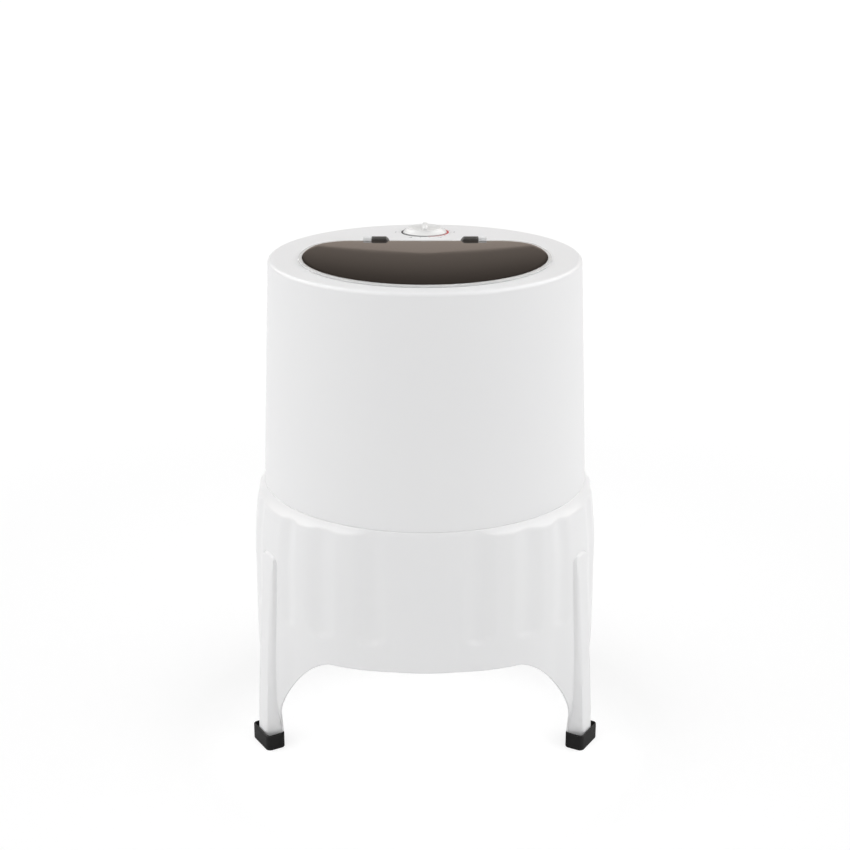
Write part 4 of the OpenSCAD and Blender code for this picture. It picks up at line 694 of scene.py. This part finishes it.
def buildWindow():
    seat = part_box("lid_window")[0][2]
    top = seat + window["thick"]
    lap = top - window["lapThick"]

    def ring(u, z, outline="lap"):
        points = dOutline(*window[outline], z, window["columns"])
        return [(x * u, drumY + (y - drumY) * u, z) for x, y, _ in points]

    def crown(u):
        return window["crown"] * (1 - u ** window["power"])

    rings = [ring(u, top + crown(u)) for u in window["shares"]]
    rings += [ring(0.995, top + crown(0.995) - 0.0001), ring(0.999, top - 0.0002), ring(1.0, lap + 0.0002),
              ring(0.9995, lap), ring(1.0, lap, "pane"), ring(1.0, seat + 0.0003, "pane"), ring(0.999, seat, "pane")]
    rings += [ring(u, seat + crown(u), "pane") for u in window["shares"][::-1]]
    mesh = ringMesh("windowPane", rings, joinEnds=False, capEnds=True)
    sharpen(mesh, 60)
    piece = addPiece("windowPane", mesh, "smokedWindow")
    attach(piece, "lid")
    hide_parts("lid_window")
    print("window built")


# Foot cap: rubber, with rounded edges and a raised lip round the leg
foot = {"height": 0.028, "outer": 0.32688, "inner": 0.2925, "half": 0.03119, "corner": 0.0085, "cornerSteps": 8,
        "wall": 0.003, "edge": 0.0014, "cover": 0.004}


def roundedRect(x0, x1, half, corner, z):
    corners = ((x1 - corner, half - corner), (x0 + corner, half - corner),
               (x0 + corner, corner - half), (x1 - corner, corner - half))
    ring = []
    for quarter, (cx, cy) in enumerate(corners):
        start = 90 * quarter
        ring += [(x, y, z) for x, y in arcPoints(cx, cy, corner, start, start + 90, foot["cornerSteps"])]
    return ring


def buildFoot(name, node, turn):
    edge, height, wall, cover = foot["edge"], foot["height"], foot["wall"], foot["cover"]

    def outline(grow, z):
        return roundedRect(foot["inner"] - grow, foot["outer"] + grow, foot["half"] + grow, foot["corner"] + grow, z)

    rings = [outline(-edge, 0), outline(-edge * 0.3, edge * 0.3), outline(0, edge)]
    rings += [outline(0, z) for z in np.linspace(cover, height - cover, 5)]
    rings += [outline(0, height - edge), outline(-edge * 0.3, height - edge * 0.3), outline(-edge, height)]
    rings += [outline(-wall + 0.0004, height), outline(-wall, height - 0.0005), outline(-wall, cover)]
    mesh = ringMesh(name, rings, joinEnds=False, capEnds=True)
    spin = math.radians(turn)
    for vertex in mesh.vertices:
        x, y = vertex.co.x, vertex.co.y
        vertex.co.x = x * math.cos(spin) - y * math.sin(spin)
        vertex.co.y = axisY + x * math.sin(spin) + y * math.cos(spin)
    sharpen(mesh, 50)
    piece = addPiece(name, mesh, "footRubber")
    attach(piece, "machine")
    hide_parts(node)


# Knob: a flared disc with a dished face and a grip across it
knob = {
    "foot": 0.038, "hollow": 0.0300, "depth": 0.004, "axis": 0.0005, "flare": 1.6, "columns": 192,
    "edge": 0.0008, "flareFrom": 0.001, "flareShares": np.linspace(0.08, 1, 14),
    "face": 0.0295, "faceHeight": 0.0095, "dish": 0.0015,
    "rim": ((0.0004, 0.0003), (0.0014, 0.0), (0.003, 0.0003), (0.0055, 0.0013), (0.0075, 0.0015)),
    "top": 0.0165, "gripHalf": 0.0050, "gripReach": 0.0215, "gripArch": 2.2, "gripEnd": 0.55, "gripSink": 0.0006,
    "gripFillet": 0.0012, "gripLow": 0.02, "gripRings": 41,
}


def buildKnob():
    centre = centreOf("timer_knob")
    z0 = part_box("timer_knob")[0][2]
    top = deckZ + knob["faceHeight"]
    floor = top - knob["dish"]
    base, face = knob["foot"], knob["face"]
    profile = [(knob["axis"], z0 + knob["depth"]), (knob["hollow"], z0 + knob["depth"]), (knob["hollow"], z0),
               (base - knob["edge"], z0), (base, z0 + knob["edge"])]
    rise = top - z0 - 2 * knob["flareFrom"]
    profile += [(base + (face - base) * (1 - (1 - t) ** knob["flare"]), z0 + knob["flareFrom"] + rise * t)
                for t in knob["flareShares"]]
    profile += [(face - back, top - down) for back, down in knob["rim"]] + [(knob["axis"], floor)]
    turns = np.linspace(0, 2 * math.pi, knob["columns"], endpoint=False)
    mesh = ringMesh("knobDisc", [circle(r, z, centre, turns) for r, z in profile], joinEnds=False, capEnds=True)
    sharpen(mesh, 50)
    disc = addPiece("knobDisc", mesh, "knobWhite")

    bottom, fillet = floor - knob["gripSink"], knob["gripFillet"]
    rings = []
    for t in np.linspace(-1, 1, knob["gripRings"]):
        fall = math.sqrt(max(0.0, 1 - abs(t) ** knob["gripArch"]))
        crest = floor + (deckZ + knob["top"] - floor) * (knob["gripLow"] + (1 - knob["gripLow"]) * fall)
        half = knob["gripHalf"] * (knob["gripEnd"] + (1 - knob["gripEnd"]) * fall)
        side = [(half + fillet, bottom), (half, bottom + fillet), (half * 0.94, (bottom + crest) / 2),
                (half * 0.86, crest - 0.0016), (half * 0.6, crest - 0.0004)]
        section = [(-x, z) for x, z in side] + [(0, crest)] + side[::-1]
        rings.append([(centre[0] + x, centre[1] + knob["gripReach"] * t, z) for x, z in section])
    mesh = ringMesh("knobGrip", rings, joinEnds=False, capEnds=True)
    sharpen(mesh, 60)
    grip = addPiece("knobGrip", mesh, "knobWhite")
    for piece in (disc, grip):
        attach(piece, "timer")
    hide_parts("timer_knob")
    print("knob built")


# Hinge caps: half-round blocks with a tapered inner end; each station is a place, a height and a width
hinge = {"half": 0.006, "crown": 0.0098, "side": 0.0022, "innerX": 0.0598, "fullX": 0.0675, "outerX": 0.0915,
         "taper": ((0.0, 0.03), (0.12, 0.28), (0.35, 0.6), (0.6, 0.83), (0.85, 0.97), (1.0, 1.0)),
         "middle": (0.074, 0.080, 0.086), "end": ((0.0008, 1.0, 1.0), (0.0002, 0.96, 0.97), (0.0, 0.9, 0.93)),
         "sideBow": 0.8, "topBow": 0.9}


def buildHinge(name, node, side):
    centreY = centreOf(node)[1]
    inner, full, outer = hinge["innerX"], hinge["fullX"], hinge["outerX"]
    stations = [(inner + (full - inner) * share, tall, 1.0) for share, tall in hinge["taper"]]
    stations += [(x, 1.0, 1.0) for x in hinge["middle"]]
    stations += [(outer - back, tall, wide) for back, tall, wide in hinge["end"]]
    rings = []
    for x, tall, wide in stations:
        half = hinge["half"] * wide
        section = [(-half, 0.0)]
        for a in np.radians(np.linspace(180, 0, 17)):
            y = half * math.copysign(abs(math.cos(a)) ** hinge["sideBow"], math.cos(a))
            rise = (hinge["crown"] - hinge["side"]) * abs(math.sin(a)) ** hinge["topBow"]
            section.append((y, (hinge["side"] + rise) * tall))
        section.append((half, 0.0))
        rings.append([(side * x, centreY + y, deckZ + z) for y, z in section])
    mesh = ringMesh(name, rings, joinEnds=False, capEnds=True)
    sharpen(mesh, 50)
    piece = addPiece(name, mesh, "hingeGrey")
    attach(piece, "machine")
    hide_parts(node)


# Copies of one bar stood round a circle
def barsRoundTree():
    tree = bpy.data.node_groups.new("barsRoundCircle", "GeometryNodeTree")
    tree.interface.new_socket("Geometry", in_out="INPUT", socket_type="NodeSocketGeometry")
    for label, kind, value in (
            ("Count", "NodeSocketInt", 12), ("Radius", "NodeSocketFloat", 0.05), ("Start", "NodeSocketFloat", 0.0),
            ("Sweep", "NodeSocketFloat", 6.28), ("Size", "NodeSocketVector", (0.004, 0.001, 0.001)),
            ("Centre", "NodeSocketVector", (0, 0, 0)), ("Material", "NodeSocketMaterial", None)):
        tree.interface.new_socket(label, in_out="INPUT", socket_type=kind).default_value = value
    tree.interface.new_socket("Geometry", in_out="OUTPUT", socket_type="NodeSocketGeometry")
    link = tree.links.new
    inside = addNode(tree, "NodeGroupInput").outputs
    outside = addNode(tree, "NodeGroupOutput")
    points = addNode(tree, "GeometryNodePoints")
    index = addNode(tree, "GeometryNodeInputIndex")
    place = addNode(tree, "ShaderNodeCombineXYZ")
    shift = addNode(tree, "ShaderNodeVectorMath", operation="ADD")
    facing = addNode(tree, "ShaderNodeCombineXYZ")
    cube = addNode(tree, "GeometryNodeMeshCube")
    instance = addNode(tree, "GeometryNodeInstanceOnPoints")
    realize = addNode(tree, "GeometryNodeRealizeInstances")
    paint = addNode(tree, "GeometryNodeSetMaterial")
    share = mathNode(tree, "DIVIDE", index.outputs[0], mathNode(tree, "SUBTRACT", inside["Count"], 1.0))
    turn = mathNode(tree, "MULTIPLY_ADD", share, inside["Sweep"], inside["Start"])
    link(mathNode(tree, "MULTIPLY", mathNode(tree, "COSINE", turn), inside["Radius"]), place.inputs[0])
    link(mathNode(tree, "MULTIPLY", mathNode(tree, "SINE", turn), inside["Radius"]), place.inputs[1])
    link(place.outputs[0], shift.inputs[0])
    link(inside["Centre"], shift.inputs[1])
    link(inside["Count"], points.inputs["Count"])
    link(shift.outputs[0], points.inputs["Position"])
    link(inside["Size"], cube.inputs["Size"])
    link(points.outputs[0], instance.inputs["Points"])
    link(cube.outputs[0], instance.inputs["Instance"])
    link(turn, facing.inputs[2])
    link(facing.outputs[0], instance.inputs["Rotation"])
    link(instance.outputs[0], realize.inputs[0])
    link(realize.outputs[0], paint.inputs["Geometry"])
    link(inside["Material"], paint.inputs["Material"])
    link(paint.outputs[0], outside.inputs[0])
    return tree


# Runs a tree on an empty mesh and keeps the result as one plain mesh
def growPiece(name, tree, values, material):
    holder = bpy.data.objects.new(name, bpy.data.meshes.new(name))
    bpy.context.collection.objects.link(holder)
    modifier = holder.modifiers.new("grow", "NODES")
    modifier.node_group = tree
    keys = {item.name: item.identifier for item in tree.interface.items_tree
            if item.item_type == "SOCKET" and item.in_out == "INPUT"}
    for label, value in values.items():
        modifier[keys[label]] = value
    graph = bpy.context.evaluated_depsgraph_get()
    mesh = bpy.data.meshes.new_from_object(holder.evaluated_get(graph))
    holder.modifiers.clear()
    holder.data = mesh
    mesh.name = name
    mesh.materials.clear()
    mesh.materials.append(materials[material])
    return holder


# Dial: printed crescents, ticks and plain numbers round the knob
dial = {
    "lift": 0.00002, "rise": 0.00012, "inner": 0.0388, "thin": 0.0007, "thick": 0.0034, "swell": 1.6, "steps": 61,
    "ticks": 16, "tickRadius": 0.0455, "tickSize": (0.0028, 0.0006), "start": -120, "sweep": 300,
    "numbers": ("15", "12", "9", "6", "3", "0"), "numberRadius": 0.0515, "numberSize": 0.0062,
    "numberThick": 0.00005, "numberLift": 0.00008,
}


# A plain number as a flat mesh
def numberMesh(value):
    text = bpy.data.curves.new("dialNumber", "FONT")
    text.body = value
    text.size = dial["numberSize"]
    text.align_x = "CENTER"
    text.align_y = "CENTER"
    text.extrude = dial["numberThick"]
    holder = bpy.data.objects.new("dialNumber", text)
    graph = bpy.context.evaluated_depsgraph_get()
    bpy.context.collection.objects.link(holder)
    graph.update()
    mesh = bpy.data.meshes.new_from_object(holder.evaluated_get(graph))
    bpy.data.objects.remove(holder)
    return mesh


def buildDial():
    cx, cy = centreOf("dial_ring")
    z0, z1 = deckZ + dial["lift"], deckZ + dial["rise"]

    def crescent(name, start, end, material):
        rings = []
        for a in np.radians(np.linspace(start, end, dial["steps"])):
            r0 = dial["inner"]
            r1 = r0 + dial["thin"] + (dial["thick"] - dial["thin"]) * abs(math.cos(a)) ** dial["swell"]
            section = [(r0, z0), (r1, z0), (r1, z1), (r0, z1)]
            rings.append([(cx + r * math.cos(a), cy + r * math.sin(a), z) for r, z in section])
        mesh = ringMesh(name, rings, joinEnds=False, capEnds=True)
        return addPiece(name, mesh, material)

    dark = crescent("dialDark", 95, 275, "printInk")
    red = crescent("dialRed", 277, 443, "printRed")
    ticks = growPiece("dialTicks", barsRoundTree(), {
        "Count": dial["ticks"], "Radius": dial["tickRadius"], "Start": math.radians(dial["start"]),
        "Sweep": math.radians(dial["sweep"]), "Size": (*dial["tickSize"], dial["rise"]),
        "Centre": (cx, cy, z0 + dial["rise"] / 2), "Material": materials["printInk"]}, "printInk")
    numbers = []
    for count, value in enumerate(dial["numbers"]):
        a = math.radians(dial["start"] + dial["sweep"] * count / (len(dial["numbers"]) - 1))
        mesh = numberMesh(value)
        for vertex in mesh.vertices:
            vertex.co.x += cx + dial["numberRadius"] * math.cos(a)
            vertex.co.y += cy + dial["numberRadius"] * math.sin(a)
            vertex.co.z += deckZ + dial["numberLift"]
        numbers.append(addPiece("dialNumber" + value, mesh, "printInk"))
    for piece in [dark, red, ticks] + numbers:
        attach(piece, "machine")
    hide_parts("dial_ring")
    print("dial built")


# Impeller: a low cone with four rounded vanes and shallow ripples, made as a polar height field
pulsator = {
    "radius": 0.145, "hub": 0.024, "bore": 0.010, "boreDepth": 0.0055, "columns": 384,
    "coneEdge": 0.006, "coneRise": 0.024, "conePower": 2.4,
    "vanes": 4, "vaneHalf": 0.0068, "vaneEdge": 0.014, "vaneUnderHub": 0.004, "vanePower": 0.8, "vaneBow": 2.6,
    "vaneMargin": 0.006, "vaneFade": 0.012, "ripples": 12, "rippleDepth": 0.0008, "rippleFrom": 0.05,
    "rippleOver": 0.03, "rippleMargin": 0.012, "rippleFade": 0.01, "hubMargin": 0.002, "hubFade": 0.003,
    "hubRadii": (0.0102, 0.016, 0.0215, 0.0225, 0.0235, 0.0245, 0.0255), "discRadii": np.linspace(0.027, 0.142, 60),
    "edge": ((0.0002, 0.0042), (0.0, 0.003), (0.0, 0.0006), (0.0006, 0.0)), "edgeTop": 0.0012,
}


def buildImpeller():
    z0, hubTop = impellerLow[2], impellerHigh[2]
    radius, hubR, bore = pulsator["radius"], pulsator["hub"], pulsator["bore"]
    turns = np.linspace(0, 2 * math.pi, pulsator["columns"], endpoint=False)

    def height(r, t):
        outward = 1 - r / radius
        step = 2 * math.pi / pulsator["vanes"]
        off = (t + step / 2) % step - step / 2
        across = abs(r * math.sin(off)) / pulsator["vaneHalf"]
        bow = max(0.0, 1 - across ** pulsator["vaneBow"]) ** 0.5
        cone = pulsator["coneEdge"] + pulsator["coneRise"] * outward ** pulsator["conePower"]
        ripple = pulsator["rippleDepth"] * math.cos(pulsator["ripples"] * t)
        ripple *= smoothStep((r - pulsator["rippleFrom"]) / pulsator["rippleOver"])
        ripple *= smoothStep((radius - pulsator["rippleMargin"] - r) / pulsator["rippleFade"])
        edge = pulsator["vaneEdge"]
        crest = edge + (hubTop - pulsator["vaneUnderHub"] - z0 - edge) * outward ** pulsator["vanePower"]
        fade = smoothStep((radius - pulsator["vaneMargin"] - r) / pulsator["vaneFade"])
        top = cone + ripple + max(0.0, crest - cone) * bow * fade
        hub = smoothStep((hubR + pulsator["hubMargin"] - r) / pulsator["hubFade"])
        return z0 + top + (hubTop - z0 - top) * hub

    def ring(r, z):
        return circle(r, z, (0.0, drumY), turns)

    radii = [*pulsator["hubRadii"], *pulsator["discRadii"], radius - pulsator["edgeTop"]]
    rings = [ring(bore, hubTop - pulsator["boreDepth"])]
    rings += [[(r * math.cos(t), drumY + r * math.sin(t), height(r, t)) for t in turns] for r in radii]
    rings += [ring(radius - back, z0 + rise) for back, rise in pulsator["edge"]] + [ring(bore, z0)]
    mesh = ringMesh("impellerDisc", rings)
    sharpen(mesh, 45)
    piece = addPiece("impellerDisc", mesh, "tubGrey")
    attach(piece, "impeller_drive")
    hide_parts("impeller")
    print("impeller built")


# Windings: coil heads of looped wire round both ends of the stator
coils = {"count": 24, "loops": 5, "wire": 0.0009, "depth": 0.0055, "head": 0.008, "pitches": 2.6,
         "reach": 0.75, "loopStep": 0.05, "coilStep": 0.1, "steps": 16, "sides": 6}


def buildWindings():
    low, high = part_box("motor_windings")
    cx, cy = centreOf("motor_windings")
    wire, count, loops, steps, sides = (coils[key] for key in ("wire", "count", "loops", "steps", "sides"))
    outer = (high[0] - low[0]) / 2
    inner = outer - coils["depth"]
    span = 2 * math.pi * coils["pitches"] / count
    verts, faces = [], []

    # One wire: an arch from one slot to another, at radius r
    def addWire(start, r, z0, rise):
        base = len(verts)
        for i in range(steps + 1):
            a = start + span * i / steps
            z = z0 + rise * max(0.0, math.sin(math.pi * i / steps)) ** 0.5
            for j in range(sides):
                b = 2 * math.pi * j / sides
                rr = r + wire * math.cos(b)
                verts.append((cx + rr * math.cos(a), cy + rr * math.sin(a), z + wire * math.sin(b)))
        for i in range(steps):
            for j in range(sides):
                p = base + i * sides + j
                q = base + i * sides + (j + 1) % sides
                faces.append((p, p + sides, q + sides, q))
        faces.append(tuple(base + j for j in range(sides)))
        faces.append(tuple(base + steps * sides + j for j in reversed(range(sides))))

    for z0, z1 in ((low[2] + coils["head"], low[2]), (high[2] - coils["head"], high[2])):
        reach = z1 - z0 - math.copysign(wire, z1 - z0)
        for k in range(count):
            for loop in range(loops):
                r = inner + wire + (outer - inner - 2 * wire) * loop / (loops - 1)
                share = coils["reach"] + coils["loopStep"] * (loop % 3) + coils["coilStep"] * (k % 2)
                addWire(2 * math.pi * k / count, r, z0, reach * share)
    mesh = bpy.data.meshes.new("coilHeads")
    mesh.from_pydata(verts, [], faces)
    turnOutward(mesh)
    sharpen(mesh, 60)
    piece = addPiece("coilHeads", mesh, "windingCopper")
    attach(piece, "machine")
    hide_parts("motor_windings")


# Every other CAD node gets a merged, smoothly shaded copy in its own finish
def dressTheRest(done):
    slots = {part["node"]: part["material_slot"] for part in frame["record"]["subparts"]}
    owners = {node: body for body, nodes in frame["record"]["behaviour"]["bodies"].items() for node in nodes}
    for node, slot in slots.items():
        if node in done:
            continue
        piece = dressNode(node, slotFinishes[slot])
        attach(piece, owners[node])
        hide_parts(node)
    print("other nodes dressed")


addCamera()
addWorld()
addFloor()
buildSkirt()
buildCasing()
buildWindow()
buildFoot("footLeft", "foot_left", -150)
buildFoot("footRight", "foot_right", -30)
buildFoot("footRear", "foot_rear", 90)
buildKnob()
buildHinge("hingeCapLeft", "hinge_block_left", -1)
buildHinge("hingeCapRight", "hinge_block_right", 1)
buildDial()
buildImpeller()
buildWindings()
dressTheRest({"base_skirt", "tub_casing", "lid_window", "foot_left", "foot_right", "foot_rear", "timer_knob",
              "hinge_block_left", "hinge_block_right", "dial_ring", "impeller", "motor_windings"})

bpy.context.scene.view_settings.view_transform = "Standard"
